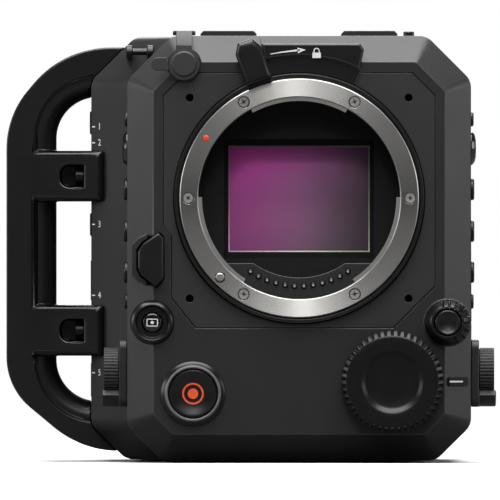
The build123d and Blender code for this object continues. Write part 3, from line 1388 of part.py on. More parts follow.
# Right side: panel with its screen
screen_y = (panel_front + panel_back) / 2
with BuildPart() as side_panel:
    add(slab((half_width - panel_thickness, half_width), (panel_front + seam, panel_back - seam),
             (panel_low + seam, panel_high - seam)))
    cut(slab((half_width - screen_thickness - 0.1, half_width + 1.0),
             (screen_y - screen_width / 2 - 0.1, screen_y + screen_width / 2 + 0.1),
             (screen_z - screen_height / 2 - 0.1, screen_z + screen_height / 2 + 0.1)))
side_panel.part.label = "side_panel"
export_step(side_panel.part, "parts/side_panel.step")

with BuildPart() as status_screen:
    add(slab((half_width - screen_thickness - 0.1, half_width - 0.1),
             (screen_y - screen_width / 2, screen_y + screen_width / 2),
             (screen_z - screen_height / 2, screen_z + screen_height / 2)))
status_screen.part.label = "status_screen"
export_step(status_screen.part, "parts/status_screen.step")

# Card door: its rear edge is rounded about the two pins that it turns on
with BuildPart() as card_door:
    door_x = half_width - door_thickness / 2
    door_pin_y = door_back - door_thickness / 2
    add(slab((half_width - door_thickness, half_width), (door_front, door_pin_y), (door_low, door_high)))
    with Locations((door_x, door_pin_y, (door_low + door_high) / 2)):
        Cylinder(door_thickness / 2, door_high - door_low)
        Cylinder(door_pin_radius, door_high - door_low + 2 * (door_gap + door_pin_length))
card_door.part.label = "card_door"
export_step(card_door.part, "parts/card_door.step")

# Card reader that fills the door's bay, with two slots
reader_out = half_width - door_thickness - 0.5
reader_y = (door_front + reader_margin, door_back - reader_margin)
reader_middle = (door_low + door_high) / 2
with BuildPart() as card_reader:
    add(slab((reader_out - reader_depth, reader_out), reader_y,
             (door_low + reader_margin, door_high - reader_margin)))
    for slot_z in (reader_middle - 12.0, reader_middle + 12.0):
        cut(slab((reader_out - 20.0, reader_out + 1.0),
                 ((reader_y[0] + reader_y[1] - slot_width) / 2, (reader_y[0] + reader_y[1] + slot_width) / 2),
                 (slot_z - slot_height / 2, slot_z + slot_height / 2)))
card_reader.part.label = "card_reader"
export_step(card_reader.part, "parts/card_reader.step")

# Power switch sliding in its slot
with BuildPart() as power_switch:
    add(slab((half_width - switch_sink + running, half_width + switch_height),
             (switch_y - switch_length / 2, switch_y + switch_length / 2),
             (switch_z - switch_width / 2, switch_z + switch_width / 2)))
    chamfer(power_switch.faces().sort_by(Axis.X)[-1].edges(), length=0.3)
    add(slab((inner_right - 0.5, half_width - switch_sink + running),
             (switch_y - switch_neck / 2, switch_y + switch_neck / 2),
             (switch_z - switch_neck / 2, switch_z + switch_neck / 2)))
power_switch.part.label = "power_switch"
export_step(power_switch.part, "parts/power_switch.step")
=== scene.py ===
import math
import bmesh
import bpy
import numpy as np
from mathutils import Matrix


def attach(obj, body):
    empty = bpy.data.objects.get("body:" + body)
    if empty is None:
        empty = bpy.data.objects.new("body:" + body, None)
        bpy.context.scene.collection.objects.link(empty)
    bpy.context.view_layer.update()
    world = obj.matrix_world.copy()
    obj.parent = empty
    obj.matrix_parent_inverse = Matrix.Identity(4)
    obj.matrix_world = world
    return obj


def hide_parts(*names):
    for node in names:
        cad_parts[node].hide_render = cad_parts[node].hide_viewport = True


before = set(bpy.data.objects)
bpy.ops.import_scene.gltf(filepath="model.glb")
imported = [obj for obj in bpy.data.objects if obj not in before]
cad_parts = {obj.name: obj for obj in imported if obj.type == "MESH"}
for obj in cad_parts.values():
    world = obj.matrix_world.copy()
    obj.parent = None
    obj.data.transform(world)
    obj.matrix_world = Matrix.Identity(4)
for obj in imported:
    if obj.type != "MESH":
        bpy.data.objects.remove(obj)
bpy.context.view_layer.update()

mm = 0.001
lensHeight = 88.0  # the lens axis over the base, in mm


def linked(name, data):
    # A new object with this data, put into the scene
    made = bpy.data.objects.new(name, data)
    bpy.context.scene.collection.objects.link(made)
    return made


class Wire:
    # An output socket of a finish; arithmetic on it adds Math, Vector Math or Mix nodes by the socket's kind
    def __init__(self, finish, socket):
        self.finish = finish
        self.socket = socket

    def __add__(self, other):
        return self.finish.joined("ADD", self, other)

    def __radd__(self, other):
        return self.finish.joined("ADD", other, self)

    def __sub__(self, other):
        return self.finish.joined("SUBTRACT", self, other)

    def __rsub__(self, other):
        return self.finish.joined("SUBTRACT", other, self)

    def __mul__(self, other):
        return self.finish.joined("MULTIPLY", self, other)

    def __rmul__(self, other):
        return self.finish.joined("MULTIPLY", other, self)

    def __truediv__(self, other):
        return self.finish.joined("DIVIDE", self, other)

    def __rtruediv__(self, other):
        return self.finish.joined("DIVIDE", other, self)

    def __gt__(self, other):
        return self.finish.maths("GREATER_THAN", self, other)


class Finish:
    # One material: a Principled shader and the nodes that feed it
    def __init__(self, name, constants):
        self.material = bpy.data.materials.new(name)
        self.material.use_nodes = True
        self.tree = self.material.node_tree
        self.tree.nodes.clear()
        self.end = self.tree.nodes.new("ShaderNodeOutputMaterial")
        self.shader = self.tree.nodes.new("ShaderNodeBsdfPrincipled")
        self.tree.links.new(self.shader.outputs["BSDF"], self.end.inputs["Surface"])
        for key, value in constants.items():
            self.shader.inputs[key].default_value = value
        self.place = self.node("ShaderNodeTexCoord", {}, {}, "Object")

    def node(self, kind, settings, inputs, output=0):
        made = self.tree.nodes.new(kind)
        for key, value in settings.items():
            if key == "stops":
                self.setStops(made.color_ramp, value)
            elif key == "ramp":
                made.color_ramp.interpolation = value
            else:
                setattr(made, key, value)
        for key, value in inputs.items():
            if isinstance(value, Wire):
                self.tree.links.new(value.socket, made.inputs[key])
            else:
                made.inputs[key].default_value = value
        return Wire(self, made.outputs[output])

    def setStops(self, ramp, stops):
        while len(ramp.elements) < len(stops):
            ramp.elements.new(1.0)
        for element, (position, colour) in zip(ramp.elements, stops):
            element.position = position
            element.color = (*colour, 1.0)

    def along(self, axis):
        return self.node("ShaderNodeSeparateXYZ", {}, {0: self.place}, axis)

    def maths(self, operation, first, second, clamp=False):
        settings = {"operation": operation, "use_clamp": clamp}
        return self.node("ShaderNodeMath", settings, {0: first, 1: second})

    def joined(self, operation, first, second):
        kinds = [value.socket.type if isinstance(value, Wire) else "VALUE" for value in (first, second)]
        if "RGBA" in kinds:
            blend = {"data_type": "RGBA", "blend_type": operation}
            parts = [value if isinstance(value, (Wire, tuple)) else (value, value, value, 1.0)
                     for value in (first, second)]
            return self.node("ShaderNodeMix", blend, {0: 1.0, 6: parts[0], 7: parts[1]}, 2)
        if "VECTOR" in kinds:
            parts = [value if isinstance(value, (Wire, tuple)) else (value, value, value)
                     for value in (first, second)]
            return self.node("ShaderNodeVectorMath", {"operation": operation}, {0: parts[0], 1: parts[1]})
        return self.maths(operation, first, second)

    def mixed(self, share, first, second):
        settings = {"data_type": "RGBA"}
        return self.node("ShaderNodeMix", settings, {0: share, 6: first, 7: second}, 2)

    def noise(self, size, detail=2.0, stretch=(1.0, 1.0, 1.0)):
        # size is the width of one blotch in mm
        where = self.node("ShaderNodeMapping", {}, {"Vector": self.place, "Scale": stretch})
        inputs = {"Vector": where, "Scale": 1.0 / (size * mm), "Detail": detail}
        return self.node("ShaderNodeTexNoise", {}, inputs)

    def bump(self, height, depth, strength=1.0, normal=None):
        # depth is the height of a full step in mm
        inputs = {"Height": height, "Distance": depth * mm, "Strength": strength}
        if normal is not None:
            inputs["Normal"] = normal
        return self.node("ShaderNodeBump", {}, inputs)

    def feed(self, **wires):
        names = {"colour": "Base Color", "rough": "Roughness", "metal": "Metallic", "coat": "Coat Weight",
                 "alpha": "Alpha", "glow": "Emission Color", "normal": "Normal"}
        for key, wire in wires.items():
            self.tree.links.new(wire.socket, self.shader.inputs[names[key]])
        return self.material


def linear(red, green, blue):
    # A screen colour from 0 to 255 as the shader's linear colour
    parts = [value / 255.0 for value in (red, green, blue)]
    return [part / 12.92 if part <= 0.04045 else ((part + 0.055) / 1.055) ** 2.4 for part in parts]


# How much broad blotches and fine grain shade a paint, how wavy the blotches are, and how dust lies on it
grainMix = {"blotch": 0.6, "fine": 0.4, "blotchDetail": 4.0, "fineDetail": 3.0, "wave": 0.01, "waviness": 0.3}
dust = {"size": 0.35, "above": 0.72, "colour": (0.16, 0.155, 0.15, 1.0)}


def grained(name, look):
    # Paint, plastic, rubber or dull metal: blotchy shade, uneven gloss, a fine grain and a broad waviness
    made = Finish(name, {"Metallic": look.get("metal", 0.0), "IOR": 1.45,
                         "Coat Weight": look.get("coat", 0.0), "Coat Roughness": look.get("coatRough", 0.2)})
    dark = (*[c * (1.0 - look["spread"]) for c in look["colour"]], 1.0)
    light = (*[min(1.0, c * (1.0 + look["spread"])) for c in look["colour"]], 1.0)
    blotch = made.noise(look["blotch"], grainMix["blotchDetail"])
    fine = made.noise(look["grain"], grainMix["fineDetail"])
    colour = made.mixed(blotch * grainMix["blotch"] + fine * grainMix["fine"], dark, light)
    rough = (blotch - 0.5) * look["roughSpread"] + (fine - 0.5) * look["roughSpread"] + look["rough"]
    wavy = made.bump(blotch, grainMix["wave"], grainMix["waviness"])
    normal = made.bump(fine, look["depth"], look["bump"], wavy)
    if "dust" in look:
        dusty = (made.noise(dust["size"], 1.0) > dust["above"]) * look["dust"]
        colour = made.mixed(dusty, colour, dust["colour"])
    return made.feed(colour=colour, rough=rough, normal=normal)


paints = {
    "casing": {"colour": linear(29, 29, 30), "spread": 0.10, "grain": 0.28, "depth": 0.020, "rough": 0.44,
               "roughSpread": 0.10, "bump": 0.55, "blotch": 14.0},
    "plate": {"colour": linear(40, 40, 41), "spread": 0.08, "grain": 0.20, "depth": 0.012, "rough": 0.42,
              "roughSpread": 0.08, "bump": 0.45, "blotch": 12.0},
    "guard": {"colour": linear(17, 17, 18), "spread": 0.12, "grain": 0.30, "depth": 0.012, "rough": 0.30,
              "roughSpread": 0.10, "bump": 0.5, "blotch": 16.0},
    "satin": {"colour": linear(14, 14, 15), "spread": 0.10, "grain": 0.16, "depth": 0.008, "rough": 0.33,
              "roughSpread": 0.08, "bump": 0.4, "blotch": 7.0},
    # Lighter blotchy paint for the rounded edges of casing parts: a painted highlight along the edges
    "paintedEdgeHighlight": {"colour": linear(50, 50, 51), "spread": 0.45, "grain": 0.5, "depth": 0.010, "rough": 0.36,
             "roughSpread": 0.16, "bump": 0.3, "blotch": 3.0},
    "plastic": {"colour": linear(12, 12, 13), "spread": 0.10, "grain": 0.14, "depth": 0.007, "rough": 0.33,
                "roughSpread": 0.10, "bump": 0.4, "blotch": 5.0},
    "gloss": {"colour": linear(18, 18, 19), "spread": 0.08, "grain": 0.6, "depth": 0.002, "rough": 0.16,
              "roughSpread": 0.06, "bump": 0.2, "blotch": 5.0, "coat": 0.5, "coatRough": 0.08},
    "rubber": {"colour": linear(40, 40, 40), "spread": 0.14, "grain": 0.18, "depth": 0.015, "rough": 0.55,
               "roughSpread": 0.12, "bump": 0.6, "blotch": 4.0, "dust": 0.25},
    "anodised": {"colour": linear(14, 14, 15), "spread": 0.12, "grain": 0.10, "depth": 0.006, "rough": 0.34,
                 "roughSpread": 0.10, "bump": 0.4, "blotch": 5.0, "metal": 0.3},
    "flock": {"colour": linear(7, 7, 8), "spread": 0.25, "grain": 0.22, "depth": 0.05, "rough": 0.85,
              "roughSpread": 0.10, "bump": 0.8, "blotch": 6.0},
    "moulded": {"colour": linear(24, 24, 25), "spread": 0.10, "grain": 0.20, "depth": 0.014, "rough": 0.52,
                "roughSpread": 0.10, "bump": 0.5, "blotch": 8.0},
    "bezel": {"colour": linear(13, 13, 14), "spread": 0.08, "grain": 0.3, "depth": 0.004, "rough": 0.30,
              "roughSpread": 0.08, "bump": 0.3, "blotch": 5.0},
    "rim": {"colour": linear(92, 92, 93), "spread": 0.06, "grain": 0.2, "depth": 0.003, "rough": 0.36,
            "roughSpread": 0.08, "bump": 0.3, "blotch": 4.0},
    # A darker, rougher copy of the ring's steel; on the ring's bevelled edges it is painted shade
    "ringEdge": {"colour": (0.40, 0.39, 0.38), "spread": 0.06, "grain": 0.15, "depth": 0.002, "rough": 0.40,
                 "roughSpread": 0.08, "bump": 0.3, "blotch": 3.0, "metal": 1.0},
    "nickel": {"colour": (0.34, 0.33, 0.31), "spread": 0.06, "grain": 0.12, "depth": 0.001, "rough": 0.30,
               "roughSpread": 0.06, "bump": 0.2, "blotch": 3.0, "metal": 1.0},
    "blackScrew": {"colour": linear(38, 38, 40), "spread": 0.15, "grain": 0.10, "depth": 0.004, "rough": 0.33,
                   "roughSpread": 0.14, "bump": 0.4, "blotch": 1.5, "metal": 0.7},
    "aluminium": {"colour": (0.55, 0.55, 0.57), "spread": 0.10, "grain": 0.15, "depth": 0.004, "rough": 0.36,
                  "roughSpread": 0.12, "bump": 0.3, "blotch": 6.0, "metal": 1.0},
    "board": {"colour": (0.012, 0.09, 0.035), "spread": 0.2, "grain": 0.8, "depth": 0.004, "rough": 0.40,
              "roughSpread": 0.12, "bump": 0.3, "blotch": 3.0},
    "whiteInk": {"colour": linear(214, 214, 212), "spread": 0.07, "grain": 0.12, "depth": 0.003,
                 "rough": 0.55, "roughSpread": 0.10, "bump": 0.3, "blotch": 1.0},
    "redInk": {"colour": linear(226, 84, 44), "spread": 0.10, "grain": 0.12, "depth": 0.003, "rough": 0.48,
               "roughSpread": 0.10, "bump": 0.3, "blotch": 1.2},
    "screenInk": {"colour": linear(120, 132, 146), "spread": 0.06, "grain": 0.12, "depth": 0.001,
                  "rough": 0.40, "roughSpread": 0.10, "bump": 0.2, "blotch": 1.0},
    "redDot": {"colour": linear(214, 66, 36), "spread": 0.10, "grain": 0.12, "depth": 0.003, "rough": 0.30,
               "roughSpread": 0.10, "bump": 0.3, "blotch": 0.6, "coat": 0.3},
}
finishes = {name: grained(name, look) for name, look in paints.items()}

# Turned satin steel: its fine grooves lean towards and away from the lens axis, so it is a blend of equal
# shares of shaders whose normals lean along the radius by fixed amounts
ringLook = {"colour": (0.55, 0.54, 0.52), "low": 0.88, "high": 1.08, "groove": 0.16, "smear": 2.2,
            "grooveShare": 0.8, "leans": (-0.36, -0.14, 0.14, 0.36), "rough": 0.23, "roughSpread": 0.03}


def turnedSteel(name, look):
    made = Finish(name, {"Metallic": 1.0})
    fromAxis = (made.place - (0.0, 0.0, lensHeight * mm)) * (1.0, 0.0, 1.0)
    radius = made.node("ShaderNodeVectorMath", {"operation": "LENGTH"}, {0: fromAxis}, "Value")
    outward = made.node("ShaderNodeVectorMath", {"operation": "NORMALIZE"}, {0: fromAxis})
    turns = made.node("ShaderNodeCombineXYZ", {}, {"X": radius * (1.0 / (look["groove"] * mm))})
    groove = made.node("ShaderNodeTexNoise", {}, {"Vector": turns, "Scale": 1.0, "Detail": 2.0})
    smear = made.noise(look["smear"], 3.0)
    low = (*[c * look["low"] for c in look["colour"]], 1.0)
    high = (*[min(1.0, c * look["high"]) for c in look["colour"]], 1.0)
    share = groove * look["grooveShare"] + smear * (1.0 - look["grooveShare"])
    colour = made.mixed(share, low, high)
    rough = (smear - 0.5) * look["roughSpread"] + look["rough"]
    flat = made.node("ShaderNodeNewGeometry", {}, {}, "Normal")
    blended = None
    for count, lean in enumerate(look["leans"], start=1):
        if count > 1:
            made.shader = made.tree.nodes.new("ShaderNodeBsdfPrincipled")
            made.shader.inputs["Metallic"].default_value = 1.0
        leaning = made.node("ShaderNodeVectorMath", {"operation": "SCALE"}, {0: outward, "Scale": lean})
        normal = made.node("ShaderNodeVectorMath", {"operation": "NORMALIZE"}, {0: flat + leaning})
        made.feed(colour=colour, rough=rough, normal=normal)
        own = Wire(made, made.shader.outputs["BSDF"])
        if count == 1:
            blended = own
        else:
            blended = made.node("ShaderNodeMixShader", {}, {0: 1.0 / count, 1: blended, 2: own})
    made.tree.links.new(blended.socket, made.end.inputs["Surface"])
    return made.material


finishes["turnedSteel"] = turnedSteel("turnedSteel", ringLook)

# Contacts and screws stand in rows round the lens axis, the lowest two half a pitch from straight down. The
# distance from the nearest one is worked out from the turn, whose remainder over the pitch is the way along
# the row, and from the radius less the row's. Rings of that distance, as shares of the reach, give the colour
# with painted light: a contact is a pale tip of painted highlight in a dark collar of painted shade, and a
# screw has a pale face whose recess and edge are darkened with painted shade
paintedContactHighlight, paintedContactShade = (0.42, 0.42, 0.40), (0.008, 0.008, 0.009)
contactLook = {"circle": 29.4, "pitch": 6.1, "reach": 1.0, "metal": 0.1, "rough": 0.34,
               "rings": [(0.0, paintedContactHighlight), (0.28, paintedContactHighlight), (0.40, paintedContactShade), (1.0, paintedContactShade)]}
screwFace = (0.46, 0.455, 0.44)
screwLook = {"circle": 37.0, "pitch": 60.0, "reach": 2.0, "metal": 0.5, "rough": 0.28,
             "rings": [(0.0, (0.14, 0.138, 0.13)), (0.22, (0.16, 0.158, 0.15)), (0.32, screwFace),
                       (0.72, screwFace), (0.84, (0.10, 0.098, 0.095)), (1.0, (0.08, 0.078, 0.075))]}
ringWear = {"grain": 0.15, "waver": 0.06, "dirt": 0.2, "dirtColour": (0.02, 0.02, 0.02, 1.0),
            "roughSpread": 0.1, "depth": 0.002, "bump": 0.3}


def ringed(name, look):
    made = Finish(name, {"Metallic": look["metal"]})
    x, z = made.along("X"), made.along("Z") - lensHeight * mm
    pitch = math.radians(look["pitch"])
    turn = (made.maths("ARCTAN2", z, x) + math.pi / 2) / pitch
    along = (made.maths("FRACT", turn, 0.0) - 0.5) * (pitch * look["circle"] * mm)
    out = made.maths("SQRT", x * x + z * z, 0.0) - look["circle"] * mm
    away = made.maths("SQRT", along * along + out * out, 0.0)
    fine = made.noise(ringWear["grain"], 3.0)
    where = away / (look["reach"] * mm) + (fine - 0.5) * ringWear["waver"]
    shade = made.node("ShaderNodeValToRGB", {"stops": look["rings"]}, {0: where})
    colour = made.mixed(fine * ringWear["dirt"], shade, ringWear["dirtColour"])
    rough = (fine - 0.5) * ringWear["roughSpread"] + look["rough"]
    return made.feed(colour=colour, rough=rough, normal=made.bump(fine, ringWear["depth"], ringWear["bump"]))


finishes["contactTips"] = ringed("contactTips", contactLook)
finishes["screwSteel"] = ringed("screwSteel", screwLook)

# Painted sheen and shade on the sensor: magenta at the left, greyer and darker to the right and along the top
sensorWindow = {"left": -23.6, "width": 47.2, "low": 70.05, "height": 35.5}
sensorLook = {**sensorWindow, "site": 0.05, "cloud": 13.0, "acrossWaver": 0.14, "upWaver": 0.10, "rough": 0.3,
              "roughSpread": 0.1,
              "across": [(0.0, (0.90, 0.14, 0.66)), (0.25, (0.86, 0.17, 0.64)), (0.52, (0.66, 0.27, 0.57)),
                         (0.78, (0.25, 0.16, 0.23)), (1.0, (0.07, 0.055, 0.07))],
              "up": [(0.0, (0.44, 0.66, 0.46)), (0.25, (0.72, 0.86, 0.72)), (0.6, (1.0, 1.0, 1.0)),
                     (0.84, (1.0, 0.60, 0.94)), (1.0, (1.0, 0.34, 0.86))]}


def sensorSheen(name, look):
    made = Finish(name, {"IOR": 1.5, "Coat Roughness": 0.05})
    x, z = made.along("X"), made.along("Z")
    cloud = made.noise(look["cloud"])
    across = (x - look["left"] * mm) / (look["width"] * mm) + (cloud - 0.5) * look["acrossWaver"]
    up = (z - look["low"] * mm) / (look["height"] * mm) + (cloud - 0.5) * look["upWaver"]
    tint = made.node("ShaderNodeValToRGB", {"ramp": "B_SPLINE", "stops": look["across"]}, {0: across})
    fade = made.node("ShaderNodeValToRGB", {"ramp": "B_SPLINE", "stops": look["up"]}, {0: up})
    colour = made.joined("MULTIPLY", tint, fade)
    sites = made.node("ShaderNodeTexVoronoi", {}, {"Vector": made.place, "Scale": 1.0 / (look["site"] * mm)},
                      "Distance")
    rough = (cloud - 0.5) * look["roughSpread"] + look["rough"]
    return made.feed(colour=colour, rough=rough, normal=made.bump(sites, 0.0005, 0.2))


finishes["sensorSheen"] = sensorSheen("sensorSheen", sensorLook)

# The ground edge of the cover glass: pink at the left, yellow-green towards the right
# The edge grows darker towards the top: a painted highlight along the lower edge and painted shade along the
# upper
glassEdgeLook = {**sensorWindow, "paintedShade": (0.10, 0.06, 0.09, 1.0), "fade": 0.9, "cloud": 3.0, "grain": 0.2,
                 "rough": 0.2, "roughSpread": 0.2, "depth": 0.003, "bump": 0.3,
                 "across": [(0.0, (0.92, 0.52, 0.74)), (0.35, (0.90, 0.66, 0.62)), (0.7, (0.72, 0.76, 0.50)),
                            (1.0, (0.50, 0.60, 0.36))]}


def glassEdge(name, look):
    made = Finish(name, {"IOR": 1.5})
    x, z = made.along("X"), made.along("Z")
    across = (x - look["left"] * mm) / (look["width"] * mm)
    up = made.maths("DIVIDE", z - look["low"] * mm, look["height"] * mm, True)
    tint = made.node("ShaderNodeValToRGB", {"stops": look["across"]}, {0: across})
    # Painted shade that deepens towards the top of the frame
    paintedShadeShare = up * look["fade"] + made.noise(look["cloud"]) * (1.0 - look["fade"])
    fine = made.noise(look["grain"])
    return made.feed(colour=made.mixed(paintedShadeShare, tint, look["paintedShade"]),
                     rough=fine * look["roughSpread"] + look["rough"],
                     normal=made.bump(fine, look["depth"], look["bump"]))


finishes["glassEdge"] = glassEdge("glassEdge", glassEdgeLook)

# Coated clear glass over the sensor, and the dark glass of the filter and the small screen
clearLook = {"colour": (0.30, 0.12, 0.26), "alpha": 0.07, "rough": 0.04}
darkLook = {"colour": (0.012, 0.013, 0.017), "alpha": 0.93, "rough": 0.06}
glassWear = {"smear": 6.0, "shade": 0.7, "roughSpread": 0.05, "alphaSpread": 0.02, "speck": 0.4,
             "depth": 0.0004, "bump": 0.1}


def glassy(name, look):
    made = Finish(name, {"IOR": 1.5})
    smear = made.noise(glassWear["smear"], 3.0)
    tint = (*look["colour"], 1.0)
    shade = (*[c * glassWear["shade"] for c in look["colour"]], 1.0)
    speck = made.noise(glassWear["speck"], 1.0)
    return made.feed(colour=made.mixed(smear, shade, tint),
                     rough=smear * glassWear["roughSpread"] + look["rough"],
                     alpha=smear * glassWear["alphaSpread"] + look["alpha"],
                     normal=made.bump(speck, glassWear["depth"], glassWear["bump"]))


finishes["clearGlass"] = glassy("clearGlass", clearLook)
finishes["darkGlass"] = glassy("darkGlass", darkLook)
print("finishes:", len(finishes))


# Before the rounding, corners closer than weld mm and faces within flat degrees are joined; it then takes the
# edges that turn by more than sharp degrees
rounding = {"weld": 0.002, "flat": 0.6, "sharp": 30.0, "steps": 2}


def softened(node, body, finish, edge, second=None, picked=None):
    # A merged copy of a solid with its edges rounded by edge mm; the second finish is for the rounded edges
    # or, where picked is given, for the faces that it picks by their centres
    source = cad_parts[node]
    mesh = source.data.copy()
    mesh.name = node + "_soft"
    if "custom_normal" in mesh.attributes:
        mesh.attributes.remove(mesh.attributes["custom_normal"])
    work = bmesh.new()
    work.from_mesh(mesh)
    bmesh.ops.remove_doubles(work, verts=work.verts, dist=rounding["weld"] * mm)
    bmesh.ops.dissolve_degenerate(work, edges=work.edges, dist=rounding["weld"] * mm)
    flat = math.radians(rounding["flat"])
    bmesh.ops.dissolve_limit(work, angle_limit=flat, verts=work.verts, edges=work.edges)
    bmesh.ops.triangulate(work, faces=work.faces, quad_method="BEAUTY", ngon_method="BEAUTY")
    work.to_mesh(mesh)
    work.free()
    mesh.materials.clear()
    mesh.materials.append(finishes[finish])
    mesh.materials.append(finishes[second or finish])
    chosen = np.zeros(len(mesh.polygons), np.int32)
    if picked is not None:
        centres = np.zeros(len(chosen) * 3)
        mesh.polygons.foreach_get("center", centres)
        chosen = picked(centres.reshape(-1, 3) / mm).astype(np.int32)
    mesh.polygons.foreach_set("material_index", chosen)
    mesh.polygons.foreach_set("use_smooth", np.ones(len(mesh.polygons), bool))
    mesh.set_sharp_from_angle(angle=math.radians(rounding["sharp"]))
    piece = linked(node + "_soft", mesh)
    bevel = piece.modifiers.new("roundedEdges", "BEVEL")
    bevel.width = edge * mm
    bevel.segments = rounding["steps"]
    bevel.limit_method = "ANGLE"
    bevel.angle_limit = math.radians(rounding["sharp"])
    bevel.use_clamp_overlap = False
    bevel.loop_slide = False
    bevel.harden_normals = True
    bevel.miter_outer = "MITER_ARC"
    # The rounded edges take the second finish; where that is the lighter edge paint, it is a painted
    # highlight
    bevel.material = 1 if second and picked is None else -1
    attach(piece, body)
    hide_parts(node)
    return piece


# Each solid's finish, a slot name, how round its edges are in mm, and its second finish
fixedSolids = {
    "front_casing": ("casing", "casing_metal", 0.25, "paintedEdgeHighlight"),
    "main_casing": ("casing", "casing_metal", 0.35, "paintedEdgeHighlight"),
    "rear_cover": ("casing", "casing_metal", 0.15, "paintedEdgeHighlight"),
    "handle_rails": ("casing", "black_metal", 0.2, "paintedEdgeHighlight"),
    "base_plate": ("satin", "black_metal", 0.2, "paintedEdgeHighlight"),
    "mount_plate": ("plate", "casing_metal", 0.12, None),
    "lock_plate": ("satin", "black_metal", 0.2, "paintedEdgeHighlight"),
    "mount_ring": ("turnedSteel", "steel", 0.06, "ringEdge"),
    "mount_screws": ("screwSteel", "steel", 0.05, None),
    "light_box": ("flock", "flock_black", 0.1, None),
    "contact_block": ("moulded", "inner_plastic", 0.25, "paintedEdgeHighlight"),
    "contact_pins": ("contactTips", "gold_contacts", 0.1, None),
    "sensor_frame": ("flock", "flock_black", 0.15, None),
    "circuit_boards": ("board", "circuit_green", 0.1, None),
    "heat_sink": ("aluminium", "sink_aluminium", 0.15, None),
    "fan_frame": ("moulded", "inner_plastic", 0.3, None),
    "button_bezels": ("bezel", "control_plastic", 0.2, "rim"),
    "dial_index": ("flock", "black_metal", 0.15, None),
    "wheel_bases": ("casing", "black_metal", 0.45, None),
    "guard_frame": ("guard", "black_metal", 0.7, None),
    "guard_screws": ("blackScrew", "steel", 0.2, None),
    "tie_bar": ("satin", "black_metal", 0.25, None),
    "signal_sockets": ("moulded", "inner_plastic", 0.15, None),
    "rear_sockets": ("nickel", "socket_metal", 0.15, "moulded"),
    "battery_plate": ("moulded", "inner_plastic", 0.3, None),
    "side_panel": ("moulded", "inner_plastic", 0.25, None),
    "card_reader": ("moulded", "inner_plastic", 0.2, None),
}
# A moving solid rides on the body of its own name
movingSolids = {
    "lock_lever": ("satin", "black_metal", 0.25, None),
    "lens_lock_pin": ("ringEdge", "steel", 0.1, None),
    "release_button": ("plastic", "control_plastic", 0.08, None),
    "grab_button": ("gloss", "control_plastic", 0.25, None),
    "corner_button": ("plastic", "control_plastic", 0.25, None),
    "top_button": ("plastic", "control_plastic", 0.15, None),
    "right_stick": ("gloss", "control_plastic", 0.3, None),
    "left_stick": ("gloss", "control_plastic", 0.3, None),
    "right_wheel": ("moulded", "knurled_metal", 0.06, None),
    "left_wheel": ("moulded", "knurled_metal", 0.06, None),
    "cooling_fan": ("moulded", "inner_plastic", 0.15, None),
    "card_door": ("casing", "casing_metal", 0.3, "paintedEdgeHighlight"),
    "power_switch": ("plastic", "control_plastic", 0.2, None),
    "battery": ("moulded", "inner_plastic", 0.5, None),
    "battery_latch": ("plastic", "control_plastic", 0.25, None),
    "dc_cap": ("rubber", "cap_rubber", 0.3, None),
}
for side in ("right", "left"):
    for number in range(1, 6):
        movingSolids[f"{side}_button_{number}"] = ("plastic", "control_plastic", 0.2, None)

# The rim round the record button is lighter; the ring's bevelled edges take a darker steel as painted shade
recordPlace = (-35.4, 22.8)
recordRim = {"inner": 8.15, "outer": 9.3}
ringEdges = {"inner": 34.2, "outer": 39.55}


def awayFrom(place, centres):
    return np.hypot(centres[:, 0] - place[0], centres[:, 2] - place[1])


def onRecordRim(centres):
    away = awayFrom(recordPlace, centres)
    return (away > recordRim["inner"]) & (away < recordRim["outer"])


def onRingEdge(centres):
    away = awayFrom((0.0, lensHeight), centres)
    return (away < ringEdges["inner"]) | (away > ringEdges["outer"])


# The insides of the rear sockets are black
socketBores = {"cover": 64.0, "depth": 0.3, "video": ((-55.0, 108.0), (-55.0, 84.0)), "videoBore": 3.35,
               "inlet": (-34.0, 40.0), "inletBore": 5.55, "slot": (-34.0, 96.0), "slotHalf": (7.1, 1.9)}


def inSocket(centres):
    inside = centres[:, 1] < socketBores["cover"] - socketBores["depth"]
    for place in socketBores["video"]:
        inside |= awayFrom(place, centres) < socketBores["videoBore"]
    inside |= awayFrom(socketBores["inlet"], centres) < socketBores["inletBore"]
    across = np.abs(centres[:, [0, 2]] - np.array(socketBores["slot"]))
    inside |= (across < np.array(socketBores["slotHalf"])).all(axis=1)
    return inside


chosenFaces = {"button_bezels": onRecordRim, "mount_ring": onRingEdge, "rear_sockets": inSocket}

solids = {**fixedSolids, **movingSolids}
for node, (finish, slotName, edge, second) in solids.items():
    body = "camera" if node in fixedSolids else node
    softened(node, body, finish, edge, second, chosenFaces.get(node))
print("rounded solids:", len(solids))

# Glass and screens are flat slabs that keep their own form
glassNodes = {"sensor_glass": "clearGlass", "image_sensor": "sensorSheen", "density_filter": "darkGlass",
              "status_screen": "darkGlass"}
for node, finish in glassNodes.items():
    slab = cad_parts[node]
    slab.data.materials.clear()
    slab.data.materials.append(finishes[finish])


def added(name, mesh, body, finish):
    # A finished mesh as a piece that rides on its body
    mesh.materials.append(finishes[finish])
    piece = linked(name, mesh)
    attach(piece, body)
    return piece


gridJoin = {"weld": 0.0005, "sharp": 40.0}  # mm, degrees


